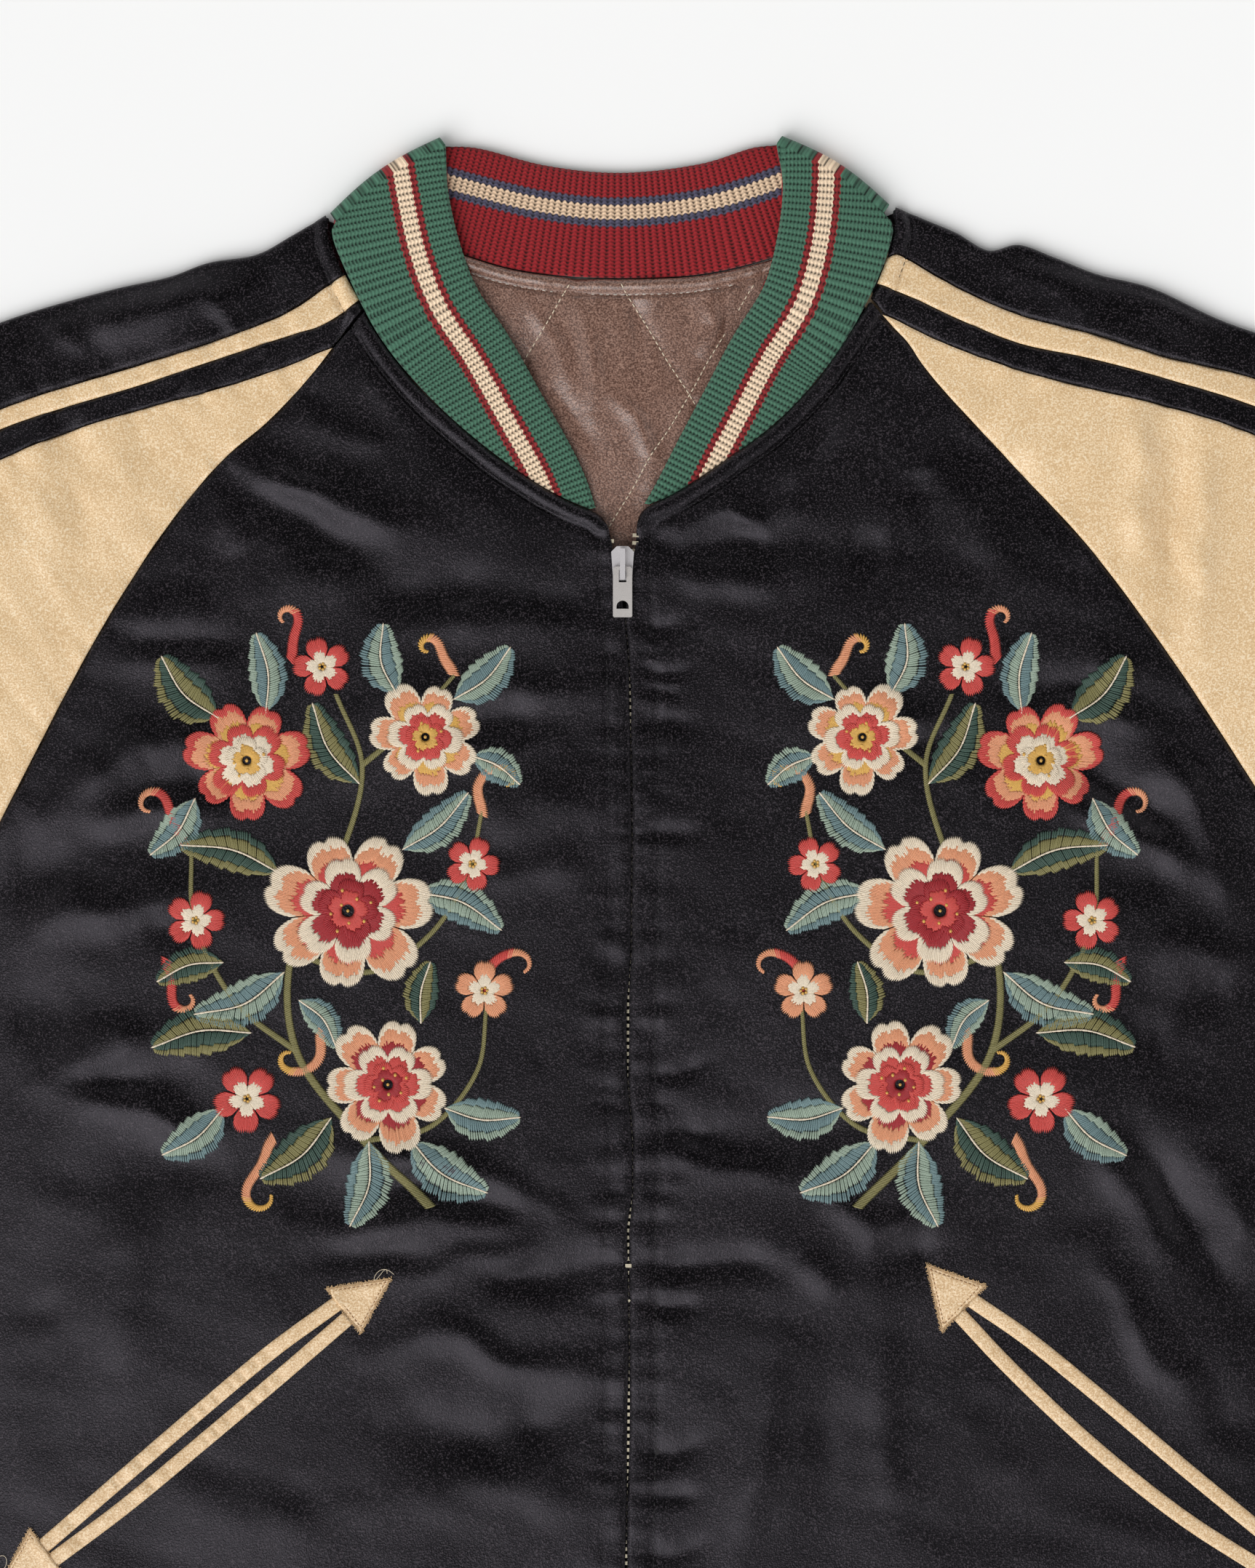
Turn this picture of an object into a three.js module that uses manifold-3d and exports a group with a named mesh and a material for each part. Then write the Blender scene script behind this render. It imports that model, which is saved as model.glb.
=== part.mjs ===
// A reversible souvenir jacket, laid flat on its back with the front up, zipped to the chest.
// X runs to the right, Y from the hem to the collar and Z up from the floor, in millimetres.
// The origin is on the floor, in the middle of the jacket's length and width.
import * as THREE from 'three';
import { mergeVertices } from 'three/addons/utils/BufferGeometryUtils.js';
import Module from 'manifold-3d';

const wasm = await Module();
wasm.setup();

// Tables are measured from the middle of the chest, which lies this far above the jacket's own middle.
const CHEST_ABOVE_MIDDLE = 83.25;

// Cloth
const SATIN_WALL = 2.0; // outer satin, wadding and lining together
const RIB_WALL = 2.2; // one layer of the collar's rib
const DOUBLE_RIB_WALL = 4.4; // the cuffs' and the hem's rib, folded double
const SEAM_GAP = 0.2; // each panel stops this far before its seam
const NECK_GAP = 0.6; // the back pieces' distance from the back neck seam
const FOLD_RADIUS = 2.3; // the sleeve's fold along the top of the arm
const EDGE_HEIGHT = 4.6; // two walls lying on each other at the jacket's outline
const PUFF = 6.0; // how far the front stands up over the back, away from the outline
const PUFF_REACH = 30;
const ZIP_TOP = EDGE_HEIGHT + PUFF; // the front's height along the zip

// Collar, a band of two ribs folded at both sides of the neck
const COLLAR_MIDDLE_HEIGHT = 4.85;
const OUTER_RIB_RADIUS = 4.85;
const INNER_RIB_RADIUS = 2.35;
const RIB_PITCH = 2.6;
const RIB_RELIEF = 0.5;

// Cuffs and hem
const WIDE_RIB_PITCH = 4.8;
const WIDE_RIB_RELIEF = 0.7;
const RIB_TUBE_HEIGHT = 9.4;
const HEM_SEAM_Y = -378.6;
const HEM_END_Y = -443.6;
const CUFF_LENGTH = 70;
const CUFF_WIDTH = 97;
const RIB_START = 0.6; // the cuffs' and the hem's distance from the satin
const HEM_TO_TAPE = 2.2;

// Zip
const TAPE_WIDTH = 13;
const TAPE_THICKNESS = 1.0;
const TAPE_START_Y = 98; // inside the slider
const TEETH_ROOM = 0.9; // from the slit's middle to each tape
const TAPE_TOP = ZIP_TOP - SATIN_WALL - 0.75;
const SLIDER_X = -2.1;
const CROWN_TOP_Y = 101.2;
const SLIDER_END_Y = 86.7;
const CROWN_WIDTH = 9.7;
const CROWN_CUT = 2.4;
const CROWN_TAPER = 0.8;
const SLIDER_FOOT = 5.2; // the width of the slider's plates at their narrow end
const PLATE_THICKNESS = 1.8;
const LOWER_PLATE_THICKNESS = 1.0;
const PLATE_GAP = 0.4; // over the fronts, and 0.3 mm under the tapes
const STEM = { width: 1, low: 93, high: 100.4 };
const TAB_WIDTH = 8.2;
const TAB_THICKNESS = 1.1;
const TAB_TOP_Y = 92.5;
const TAB_END_Y = 70.9;
const TAB_BAR = 1.5; // the bar above the tab's slot, which hangs in the bail
const TAB_CORNER = 0.9;
const TAB_SLOT = { length: 5.2, room: 0.5 };
const TAB_HOLE = { radius: 2.6, sides: 0.9, low: 74.5 }; // an arch on two short sides over a flat sill
const TAB_TILT = THREE.MathUtils.degToRad(5.5);
const BAIL_WIDTH = 2.2;
const BAIL_WALL = 1.1;
const BAIL_FOOT = 1.2;
const PIVOT_CLEARANCE = 1.3;

// The slit between the two fronts, from the slider down to the hem: its middle's x at each y.
const SLIT = [
  { y: 120, x: -1.4 },
  { y: 90, x: -2.0 },
  { y: 70, x: -0.9 },
  { y: 50, x: 0.8 },
  { y: 20, x: 1.4 },
  { y: -20, x: 2.0 },
  { y: -72, x: 1.5 },
  { y: -93, x: 0.2 },
  { y: -125, x: 0.1 },
  { y: -152, x: 2.2 },
  { y: -174, x: 2.2 },
  { y: -190, x: 0.2 },
  { y: -240, x: 0.8 },
  { y: -280, x: 0.3 },
  { y: -330, x: -0.6 },
  { y: HEM_SEAM_Y, x: -0.2 },
  { y: HEM_END_Y, x: 0 },
];

// Each front's rows beside the neck, down to the slider: y and the x of its edge.
const FRONT_ROWS = {
  right: [
    { y: 200.4, inner: -111.8 },
    { y: 198.6, inner: -110.9 },
    { y: 190.7, inner: -106.1 },
    { y: 177.9, inner: -96.6 },
    { y: 165.2, inner: -85.1 },
    { y: 156.2, inner: -75.5 },
    { y: 145.7, inner: -63.4 },
    { y: 138.0, inner: -53.8 },
    { y: 131.4, inner: -43.9 },
    { y: 124.6, inner: -33.0 },
    { y: 119.0, inner: -22.2 },
    { y: 116.3, inner: -14.6 },
    { y: 113.2, inner: -10.1 },
    { y: 108.2, inner: -7.6 },
    { y: 102.3, inner: -6.4 },
    { y: 89.0, inner: -3.4 },
  ],
  left: [
    { y: 204.4, inner: 102.6 },
    { y: 198.6, inner: 98.6 },
    { y: 190.0, inner: 93.4 },
    { y: 182.0, inner: 87.8 },
    { y: 173.0, inner: 81.4 },
    { y: 162.1, inner: 71.5 },
    { y: 153.8, inner: 63.1 },
    { y: 146.3, inner: 53.5 },
    { y: 140.4, inner: 44.8 },
    { y: 134.2, inner: 36.4 },
    { y: 127.1, inner: 25.6 },
    { y: 122.1, inner: 16.9 },
    { y: 119.0, inner: 9.8 },
    { y: 115.6, inner: 5.4 },
    { y: 109.4, inner: 3.6 },
    { y: 102.3, inner: 3.4 },
    { y: 89.0, inner: -0.6 },
  ],
};

// Below the slider the fronts meet at the slit: rows down to the armpit, then even rows to the hem,
// between the slit and a side seam that draws in at the hem.
const CHEST_ROWS = [70, 55, 40, 20, 0, -17, -34];
const ARMPIT_Y = -51;
const WAIST_ROWS = 15;
const SIDE_SEAM = { right: { armpit: -286.0, hem: -276.0 }, left: { armpit: 298.0, hem: 288.0 } };
const SLIT_HALF = 0.25;

// The collar's cross lines from the zip to the side fold, and across the back of the neck: the
// point at its seam and the point at its free edge.
const COLLAR_FRONT = {
  right: [
    { seam: [-16.4, 117.2], free: [-13.6, 117.9] },
    { seam: [-29.0, 122.7], free: [-17.2, 129.0] },
    { seam: [-43.0, 130.8], free: [-22.2, 140.4] },
    { seam: [-67.0, 148.8], free: [-36.7, 166.5] },
    { seam: [-87.5, 168.1], free: [-50.7, 191.3] },
    { seam: [-105.0, 189.4], free: [-64.6, 212.7] },
    { seam: [-118.4, 214.6], free: [-71.8, 231.9] },
    { seam: [-126.2, 235.6], free: [-76.4, 252.7] },
  ],
  left: [
    { seam: [9.4, 119.2], free: [7.2, 119.6] },
    { seam: [19.0, 123.3], free: [11.5, 127.0] },
    { seam: [38.0, 135.4], free: [20.6, 144.8] },
    { seam: [62.0, 152.9], free: [32.7, 167.7] },
    { seam: [79.6, 170.9], free: [44.8, 190.7] },
    { seam: [96.4, 194.6], free: [58.1, 212.7] },
    { seam: [111.0, 226.0], free: [64.0, 234.4] },
    { seam: [113.1, 238.6], free: [66.2, 256.1] },
  ],
};
const COLLAR_FOLD = {
  right: { seam: [-127.3, 244.0], free: [-80.4, 276.5] },
  left: { seam: [112.1, 247.7], free: [66.2, 277.1] },
};
const COLLAR_BACK = [
  { seam: [-85.0, 231.0], free: [-66.0, 272.4] },
  { seam: [-46.3, 219.8], free: [-34.9, 264.7] },
  { seam: [-3.9, 216.4], free: [-3.9, 261.6] },
  { seam: [36.0, 218.8], free: [32.0, 265.6] },
  { seam: [75.0, 229.6], free: [54.7, 272.5] },
];

function between(a, b, share) {
  return a + (b - a) * share;
}

function mix(a, b, share) {
  return [between(a[0], b[0], share), between(a[1], b[1], share)];
}

function shares(count, first = 0, last = 1) {
  return Array.from({ length: count + 1 }, (_, k) => between(first, last, k / count));
}

// A smooth curve through points in the plane, sampled at even shares of its length.
function curve(points) {
  const path = points.map(([x, y]) => new THREE.Vector3(x, y, 0));
  return new THREE.CatmullRomCurve3(path, false, 'centripetal');
}

function along(points, shares) {
  const line = curve(points);
  return shares.map((share) => line.getPointAt(share)).map((point) => [point.x, point.y]);
}

// The fold line of the collar at each side, moved in by the fold's radius, with its outward direction.
function collarFold(side) {
  const { seam, free } = COLLAR_FOLD[side];
  const length = Math.hypot(free[0] - seam[0], free[1] - seam[1]);
  const run = [(free[0] - seam[0]) / length, (free[1] - seam[1]) / length];
  const out = side === 'right' ? [-run[1], run[0]] : [run[1], -run[0]];
  const inside = (point) => [point[0] - out[0] * OUTER_RIB_RADIUS, point[1] - out[1] * OUTER_RIB_RADIUS];
  return { seam: inside(seam), free: inside(free), out };
}

const BACK_NECK_ROWS = [collarFold('right'), ...COLLAR_BACK, collarFold('left')];
const BACK_NECK_LINE = along(BACK_NECK_ROWS.map((row) => row.seam), shares(200));

// The point just below the back neck seam at a given x.
function belowNeck(x) {
  const k = BACK_NECK_LINE.findIndex((point) => point[0] >= x);
  const [a, b] = [BACK_NECK_LINE[k - 1], BACK_NECK_LINE[k]];
  return [x, between(a[1], b[1], (x - a[0]) / (b[0] - a[0])) - NECK_GAP];
}

// Each sleeve's seams from the neck to the cuff, each a smooth curve through x, y.
const SLEEVE_CURVES = {
  right: {
    shoulder: [
      [-129.2, 243.5], [-144.0, 234.7], [-158.3, 226.9], [-179.6, 223.2], [-195.8, 217.3], [-220.9, 211.7],
      [-267.4, 198.1], [-330, 171], [-390, 132], [-430, 92], [-490, 22], [-625, -135],
    ],
    stripeTop: [
      [-121.4, 217.0], [-128.9, 212.2], [-143.7, 202.1], [-174.4, 189.7], [-205.7, 179.5],
      [-267.4, 160.0], [-326, 132],
      [-376, 96], [-410, 62], [-466, -2], [-603.4, -152],
    ],
    stripeLow: [
      [-115.2, 206.0], [-118.8, 202.9], [-131.0, 195.4], [-143.4, 191.6], [-174.4, 181.4],
      [-205.7, 170.8], [-267.4, 151.3], [-322, 125],
      [-370, 90], [-403, 55], [-458, -8], [-596.6, -157.6],
    ],
    bandEnd: [[-112.9, 202.4], [-119.9, 194.0]],
    goldTop: [
      [-126.6, 185.8], [-132.0, 183.8], [-143.7, 178.9], [-174.4, 168.6], [-205.7, 160.3],
      [-236.1, 151.0], [-267.4, 138.3], [-317, 111],
      [-361, 77], [-393, 43], [-447, -18], [-587.8, -164.6],
    ],
    frontRaglan: [[-112.4, 201.6], [-119.4, 193.2]],
    raglan: [
      [-126.5, 185.0], [-131.0, 178.9], [-151.1, 156.6], [-174.4, 136.1], [-200.4, 103.5],
      [-229.9, 55.8], [-258.4, 1.6],
      [-286, -52],
    ],
    underarm: [[-286, -52], [-330, -84], [-430, -149], [-527, -213]],
    backStripeTop: [
      belowNeck(-116.5), [-140, 223], [-165, 208], [-205, 191], [-267.4, 165.0], [-326, 137], [-376, 101],
      [-412, 65], [-468, 1], [-605, -150.5],
    ],
    backStripeLow: [
      belowNeck(-106.8), [-132, 215], [-160, 199], [-205, 181], [-267.4, 155.0], [-320, 128], [-369, 93],
      [-404, 57], [-460, -7], [-597, -157.3],
    ],
    backGoldTop: [
      belowNeck(-97.6), [-122, 205], [-155, 184], [-205, 165], [-267.4, 140.0], [-315, 114], [-360, 79],
      [-393, 45], [-448, -17], [-588, -164.4],
    ],
    backRaglan: [
      belowNeck(-95.2), [-120, 196], [-160, 146], [-200.4, 100], [-229.9, 54], [-258.4, 1.6], [-286, -52],
    ],
  },
  left: {
    shoulder: [
      [114.8, 247.0], [128.8, 241.2], [141, 236], [154.8, 228.5], [167.2, 231.0], [182.4, 225.7],
      [200.4, 218.6], [223.7, 212.7], [254.0, 198.7], [330, 172], [392, 134], [432, 92], [492, 22],
      [625, -135],
    ],
    stripeTop: [
      [112.0, 225.2], [114.6, 226.1], [117.6, 225.2], [122.8, 222.4], [135.6, 214.8], [166.3, 200.6],
      [197.6, 192.2], [228.6, 182.6], [267.4, 173.3],
      [326, 148], [378, 110], [413, 64], [468, -2], [603.4, -152],
    ],
    stripeLow: [
      [107.4, 213.2], [123.2, 206.8], [135.6, 200.8], [166.3, 188.2], [197.6, 181.4], [228.6, 173.3],
      [267.4, 161.2],
      [322, 137], [370, 100], [405, 56], [459, -9], [596.6, -157.6],
    ],
    bandEnd: [[104.4, 206.6], [107.2, 203.2]],
    goldTop: [
      [109.6, 200.2], [117.0, 196.8], [123.4, 193.6], [135.6, 187.9], [166.3, 176.7], [197.6, 168.6],
      [228.6, 161.5], [267.4, 148.8], [317, 122],
      [361, 88], [394, 44], [447, -19], [587.8, -164.6],
    ],
    frontRaglan: [[103.9, 205.8], [106.7, 202.4]],
    raglan: [
      [109.4, 199.4], [113.9, 194.1], [119.4, 188.4], [125.4, 179.2], [135.6, 166.8], [166.3, 133.9],
      [196.7, 100.8], [229.9, 56.1], [260.2, 10.5],
      [298, -50],
    ],
    underarm: [[298, -50], [340, -84], [435, -150], [527, -213]],
    backStripeTop: [
      belowNeck(101.6), [126, 226], [160, 212], [205, 194], [267.4, 172.0], [326, 146], [378, 108],
      [414, 66], [470, 1], [605, -150.5],
    ],
    backStripeLow: [
      belowNeck(92.0), [120, 216], [156, 202], [205, 184], [267.4, 162.0], [321, 138], [371, 99],
      [406, 58], [461, -8], [597, -157.3],
    ],
    backGoldTop: [
      belowNeck(82.6), [112, 205], [150, 187], [205, 168], [267.4, 147.0], [316, 121], [361, 87],
      [394, 45], [449, -18], [588, -164.4],
    ],
    backRaglan: [belowNeck(80.2), [112, 192], [155, 146], [196.7, 98], [229.9, 54], [260.2, 8], [298, -50]],
  },
};
const NECK_STATIONS = 3; // the first of the body's stations is split, because the seams bend at the neck
const BODY_STATIONS = 12;
const ARM_STATIONS = 6;
const ARMPIT_SHARE = 0.47; // how far along the upper seams the station at the armpit lies

// The largest folds of the cloth: a soft ridge (or trough, where the height is below zero) from one
// end to the other, its half width across and its height.
const FOLDS = [
  { from: [-168, 139], to: [-85, 105], half: 12, height: 2.2 },
  { from: [-172, 118], to: [-105, 90], half: 13, height: -1.8 },
  { from: [-222, 70], to: [-130, 72], half: 13, height: 1.6 },
  { from: [-245, -14], to: [-200, 20], half: 11, height: 2.0 },
  { from: [-200, 20], to: [-168, 10], half: 11, height: 1.8 },
  { from: [-268, -62], to: [-180, -58], half: 16, height: 2.4 },
  { from: [-240, -128], to: [-178, -150], half: 13, height: 2.2 },
  { from: [-180, -170], to: [-45, -172], half: 16, height: -2.0 },
  { from: [-130, -150], to: [-40, -178], half: 10, height: 1.8 },
  { from: [-110, -262], to: [-30, -270], half: 16, height: -2.0 },
  { from: [-105, 66], to: [-35, 70], half: 12, height: 1.4 },
  { from: [50, 95], to: [110, 84], half: 14, height: -1.6 },
  { from: [185, 25], to: [240, -26], half: 15, height: -2.6 },
  { from: [222, 18], to: [262, -40], half: 12, height: 2.2 },
  { from: [150, 33], to: [205, 28], half: 11, height: 1.6 },
  { from: [218, -160], to: [272, -250], half: 13, height: -2.0 },
  { from: [196, -140], to: [262, -280], half: 12, height: 1.9 },
  { from: [72, -185], to: [140, -200], half: 12, height: -1.8 },
  { from: [67, -200], to: [44, -340], half: 13, height: 1.5 },
  { from: [240, 150], to: [262, 60], half: 16, height: 1.6 },
  { from: [-205, 208], to: [-185, 188], half: 10, height: 1.0 },
];
const FOLD_FADE = 15; // folds die out this near to the outline
const ZIP_CALM = 26; // and this near to the zip

// Pockets: the welt strips' middle lines, and the arrow patches as tip and two base corners.
const POCKET = {
  right: {
    upper: [[-126, -223], [-150, -240.4], [-180, -265.4], [-215, -295.6], [-248.2, -324.4]],
    lower: [[-122.5, -230.5], [-150, -254.2], [-180, -279.5], [-215, -308.6], [-243.5, -330]],
    arrows: [
      [[-100.6, -210.5], [-128.2, -214.8], [-113.6, -234.1]],
      [[-267.8, -341.3], [-255.0, -317.8], [-240.1, -337.3]],
    ],
  },
  left: {
    upper: [[150.6, -222.6], [170, -236], [200, -260.2], [240, -294], [280, -327]],
    lower: [[144.6, -229.6], [160, -246], [195, -279.4], [235, -311.6], [273, -336.5]],
    arrows: [
      [[127.3, -204.6], [152.7, -213.6], [133.8, -233.4]],
      [[293, -352], [283.8, -324.8], [268.4, -346.6]],
    ],
  },
};
const WELT_WIDTH = 6.4;
const WELT_STEPS = 22;
const ARROW_STEPS = 4;
const ARROW_TIP = 0.06; // the tip is cut off at this share of the patch
const PATCH_THICKNESS = 1.2;
const PATCH_LIFT = 0.45;

// Back lining inside the neck: y rows with the x of both sides, quilted along two slanting grids.
const LINING_ROWS = [
  { y: 200, left: -104, right: 96 },
  { y: 175, left: -94, right: 88 },
  { y: 150, left: -78, right: 76 },
  { y: 125, left: -58, right: 58 },
  { y: 100, left: -40, right: 38 },
];
const LINING_COLUMNS = 15;
const LINING_STEPS = 14;
const LINING_GAP = 0.35;
const LINING_WALL = 1.1;
const QUILT_PITCH = 79;
const QUILT_SLOPE = Math.tan(THREE.MathUtils.degToRad(31));
const QUILT_CROSSING = { x: 26.2, y: 166.5 };
const QUILT_PUFF = 1.5;

const LOOKS = {
  satin: { color: 0x1a191f, roughness: 0.38, metalness: 0 },
  gold: { color: 0xdebc87, roughness: 0.42, metalness: 0 },
  green: { color: 0x2f6b54, roughness: 0.9, metalness: 0 },
  red: { color: 0x8c1920, roughness: 0.9, metalness: 0 },
  taupe: { color: 0x705a4c, roughness: 0.5, metalness: 0 },
  tape: { color: 0x201e22, roughness: 0.9, metalness: 0 },
  metal: { color: 0xc8c6c4, roughness: 0.35, metalness: 1 },
};

const jacket = new THREE.Group();

function add(name, geometry, look) {
  const mesh = new THREE.Mesh(geometry, new THREE.MeshStandardMaterial(LOOKS[look]));
  mesh.name = name;
  mesh.position.y = CHEST_ABOVE_MIDDLE;
  jacket.add(mesh);
}

function readTable(table, key, y) {
  let k = 0;
  while (k < table.length - 2 && table[k + 1].y > y) k += 1;
  const share = THREE.MathUtils.clamp((table[k].y - y) / (table[k].y - table[k + 1].y), 0, 1);
  return between(table[k][key], table[k + 1][key], share);
}

// Distance from a point in the plane to a segment, and how far along the segment it is nearest.
function toSegment(x, y, a, b) {
  const run = [b[0] - a[0], b[1] - a[1]];
  const share = ((x - a[0]) * run[0] + (y - a[1]) * run[1]) / (run[0] ** 2 + run[1] ** 2);
  const near = mix(a, b, THREE.MathUtils.clamp(share, 0, 1));
  return { share, distance: Math.hypot(x - near[0], y - near[1]) };
}

const OUTLINE = ['right', 'left'].flatMap((side) => {
  const seams = SLEEVE_CURVES[side];
  const hem = [SIDE_SEAM[side].hem, HEM_SEAM_Y];
  return [seams.shoulder, seams.underarm, [seams.underarm[0], hem]];
});

function outlineDistance(x, y) {
  let nearest = Infinity;
  for (const line of OUTLINE) {
    for (let k = 1; k < line.length; k += 1) {
      nearest = Math.min(nearest, toSegment(x, y, line[k - 1], line[k]).distance);
    }
  }
  return nearest;
}

// The height of the front's outer face over the floor.
function faceHeight(x, y) {
  const edge = outlineDistance(x, y);
  const calm = 1 - Math.exp(-(((x - readTable(SLIT, 'x', y)) / ZIP_CALM) ** 2));
  let folds = 0;
  for (const fold of FOLDS) {
    const { distance } = toSegment(x, y, fold.from, fold.to);
    folds += fold.height * Math.exp(-((distance / fold.half) ** 2));
  }
  const puff = PUFF * (1 - Math.exp(-edge / PUFF_REACH));
  return EDGE_HEIGHT + puff + folds * calm * (1 - Math.exp(-edge / FOLD_FADE));
}

// A wall between an outer and an inner grid of points of the same size. A ring closes on its first row.
function wall(outer, inner, ring = false) {
  const rows = outer.length;
  const columns = outer[0].length;
  const points = [...outer.flat(), ...inner.flat()];
  const at = (side, i, j) => (side * rows + (i % rows)) * columns + j;
  let faces = [];
  const quad = (a, b, c, d) => faces.push([a, b, c], [a, c, d]);
  const spans = ring ? rows : rows - 1;
  const end = columns - 1;
  const last = rows - 1;
  for (let i = 0; i < spans; i += 1) {
    for (let j = 0; j < end; j += 1) {
      quad(at(0, i, j), at(0, i + 1, j), at(0, i + 1, j + 1), at(0, i, j + 1));
      quad(at(1, i, j), at(1, i, j + 1), at(1, i + 1, j + 1), at(1, i + 1, j));
    }
    quad(at(0, i, 0), at(1, i, 0), at(1, i + 1, 0), at(0, i + 1, 0));
    quad(at(0, i, end), at(0, i + 1, end), at(1, i + 1, end), at(1, i, end));
  }
  for (let j = 0; j < end && !ring; j += 1) {
    quad(at(0, 0, j), at(0, 0, j + 1), at(1, 0, j + 1), at(1, 0, j));
    quad(at(0, last, j), at(1, last, j), at(1, last, j + 1), at(0, last, j + 1));
  }
  const volume = faces.reduce((sum, [a, b, c]) => {
    const cross = new THREE.Vector3().crossVectors(points[b], points[c]);
    return sum + points[a].dot(cross);
  }, 0);
  if (volume < 0) faces = faces.map(([a, b, c]) => [a, c, b]);
  const geometry = new THREE.BufferGeometry().setFromPoints(points);
  geometry.setIndex(faces.flat());
  geometry.computeVertexNormals();
  return geometry;
}

function lifted(grid, height) {
  return grid.map((row) => row.map(([x, y]) => new THREE.Vector3(x, y, height(x, y))));
}

function facePanel(grid) {
  return wall(lifted(grid, faceHeight), lifted(grid, (x, y) => faceHeight(x, y) - SATIN_WALL));
}

function floorPanel(grid) {
  return wall(lifted(grid, () => 0), lifted(grid, () => SATIN_WALL));
}

// Rows of points between two seam lines, each row stopping short of both seams.
function strip(upper, lower, columns, gap = SEAM_GAP) {
  return upper.map((start, i) => {
    const end = lower[i];
    const inset = gap / Math.hypot(end[0] - start[0], end[1] - start[1]);
    return shares(columns, inset, 1 - inset).map((share) => mix(start, end, share));
  });
}

// Joins closed geometries into one body, or cuts the later ones out of the first.
function solid(geometry) {
  const bare = geometry.clone();
  bare.deleteAttribute('normal');
  bare.deleteAttribute('uv');
  const merged = mergeVertices(bare);
  return new wasm.Manifold(new wasm.Mesh({
    numProp: 3,
    vertProperties: new Float32Array(merged.attributes.position.array),
    triVerts: new Uint32Array(merged.index.array),
  }));
}

function asGeometry(body) {
  const mesh = body.getMesh();
  const geometry = new THREE.BufferGeometry();
  geometry.setAttribute('position', new THREE.BufferAttribute(new Float32Array(mesh.vertProperties), 3));
  geometry.setIndex(new THREE.BufferAttribute(new Uint32Array(mesh.triVerts), 1));
  geometry.computeVertexNormals();
  return geometry;
}

function box(x0, x1, y0, y1, z0, z1) {
  const geometry = new THREE.BoxGeometry(x1 - x0, y1 - y0, z1 - z0);
  return geometry.translate((x0 + x1) / 2, (y0 + y1) / 2, (z0 + z1) / 2);
}

// Fronts and back

function raglanX(side, y) {
  const { frontRaglan, raglan } = SLEEVE_CURVES[side];
  const points = along([...frontRaglan, ...raglan], shares(160)).map(([x, pointY]) => ({ x, y: pointY }));
  return readTable(points, 'x', y);
}

function frontRows(side) {
  const away = side === 'right' ? -1 : 1;
  const beside = (y) => readTable(SLIT, 'x', y) + away * SLIT_HALF;
  const rows = FRONT_ROWS[side].map(({ y, inner }) => ({
    y,
    inner: inner + away * SEAM_GAP,
    outer: raglanX(side, y),
  }));
  for (const y of [...CHEST_ROWS, ARMPIT_Y]) rows.push({ y, inner: beside(y), outer: raglanX(side, y) });
  for (const share of shares(WAIST_ROWS).slice(1)) {
    const y = between(ARMPIT_Y, HEM_SEAM_Y, share);
    const outer = between(SIDE_SEAM[side].armpit, SIDE_SEAM[side].hem, share ** 3);
    rows.push({ y, inner: beside(y), outer });
  }
  return rows;
}

const FRONT_GRIDS = {};
for (const side of ['right', 'left']) {
  const rows = frontRows(side);
  const upper = rows.map(({ y, inner }) => [inner, y]);
  const lower = rows.map(({ y, outer }) => [outer, y]);
  FRONT_GRIDS[side] = strip(upper, lower, 9, 2 * SEAM_GAP);
  add(`front_${side}`, facePanel(FRONT_GRIDS[side]), 'satin');
}

function backGrid() {
  const sides = ['right', 'left'].map((side) => [
    ...along(SLEEVE_CURVES[side].backRaglan, shares(9)),
    ...shares(7).slice(1).map((share) => [
      between(SIDE_SEAM[side].armpit, SIDE_SEAM[side].hem, share ** 3),
      between(SLEEVE_CURVES[side].underarm[0][1], HEM_SEAM_Y, share),
    ]),
  ]);
  const rows = strip(sides[0], sides[1], 10, 2 * SEAM_GAP);
  const follow = [1, 0.55, 0.25, 0.08];
  return rows.map((row, i) => row.map(([x, y], j) => {
    const drop = (rows[0][j][1] - belowNeck(rows[0][j][0])[1]) * (follow[i] ?? 0);
    return [x, y - drop];
  }));
}

add('back', floorPanel(backGrid()), 'satin');

// Sleeves

const BODY_SHARES = [...shares(NECK_STATIONS, 0, 1 / BODY_STATIONS), ...shares(BODY_STATIONS).slice(2)];
const STATIONS = [
  ...BODY_SHARES.map((share) => share * ARMPIT_SHARE),
  ...shares(ARM_STATIONS, ARMPIT_SHARE, 1).slice(1),
];

function seamPoints(name, seams) {
  if (name === 'raglan' || name === 'backRaglan') {
    const body = along(seams[name], BODY_SHARES);
    const arm = along(seams.underarm, shares(ARM_STATIONS)).slice(1);
    return [...body, ...arm];
  }
  return along(seams[name], STATIONS);
}

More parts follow.
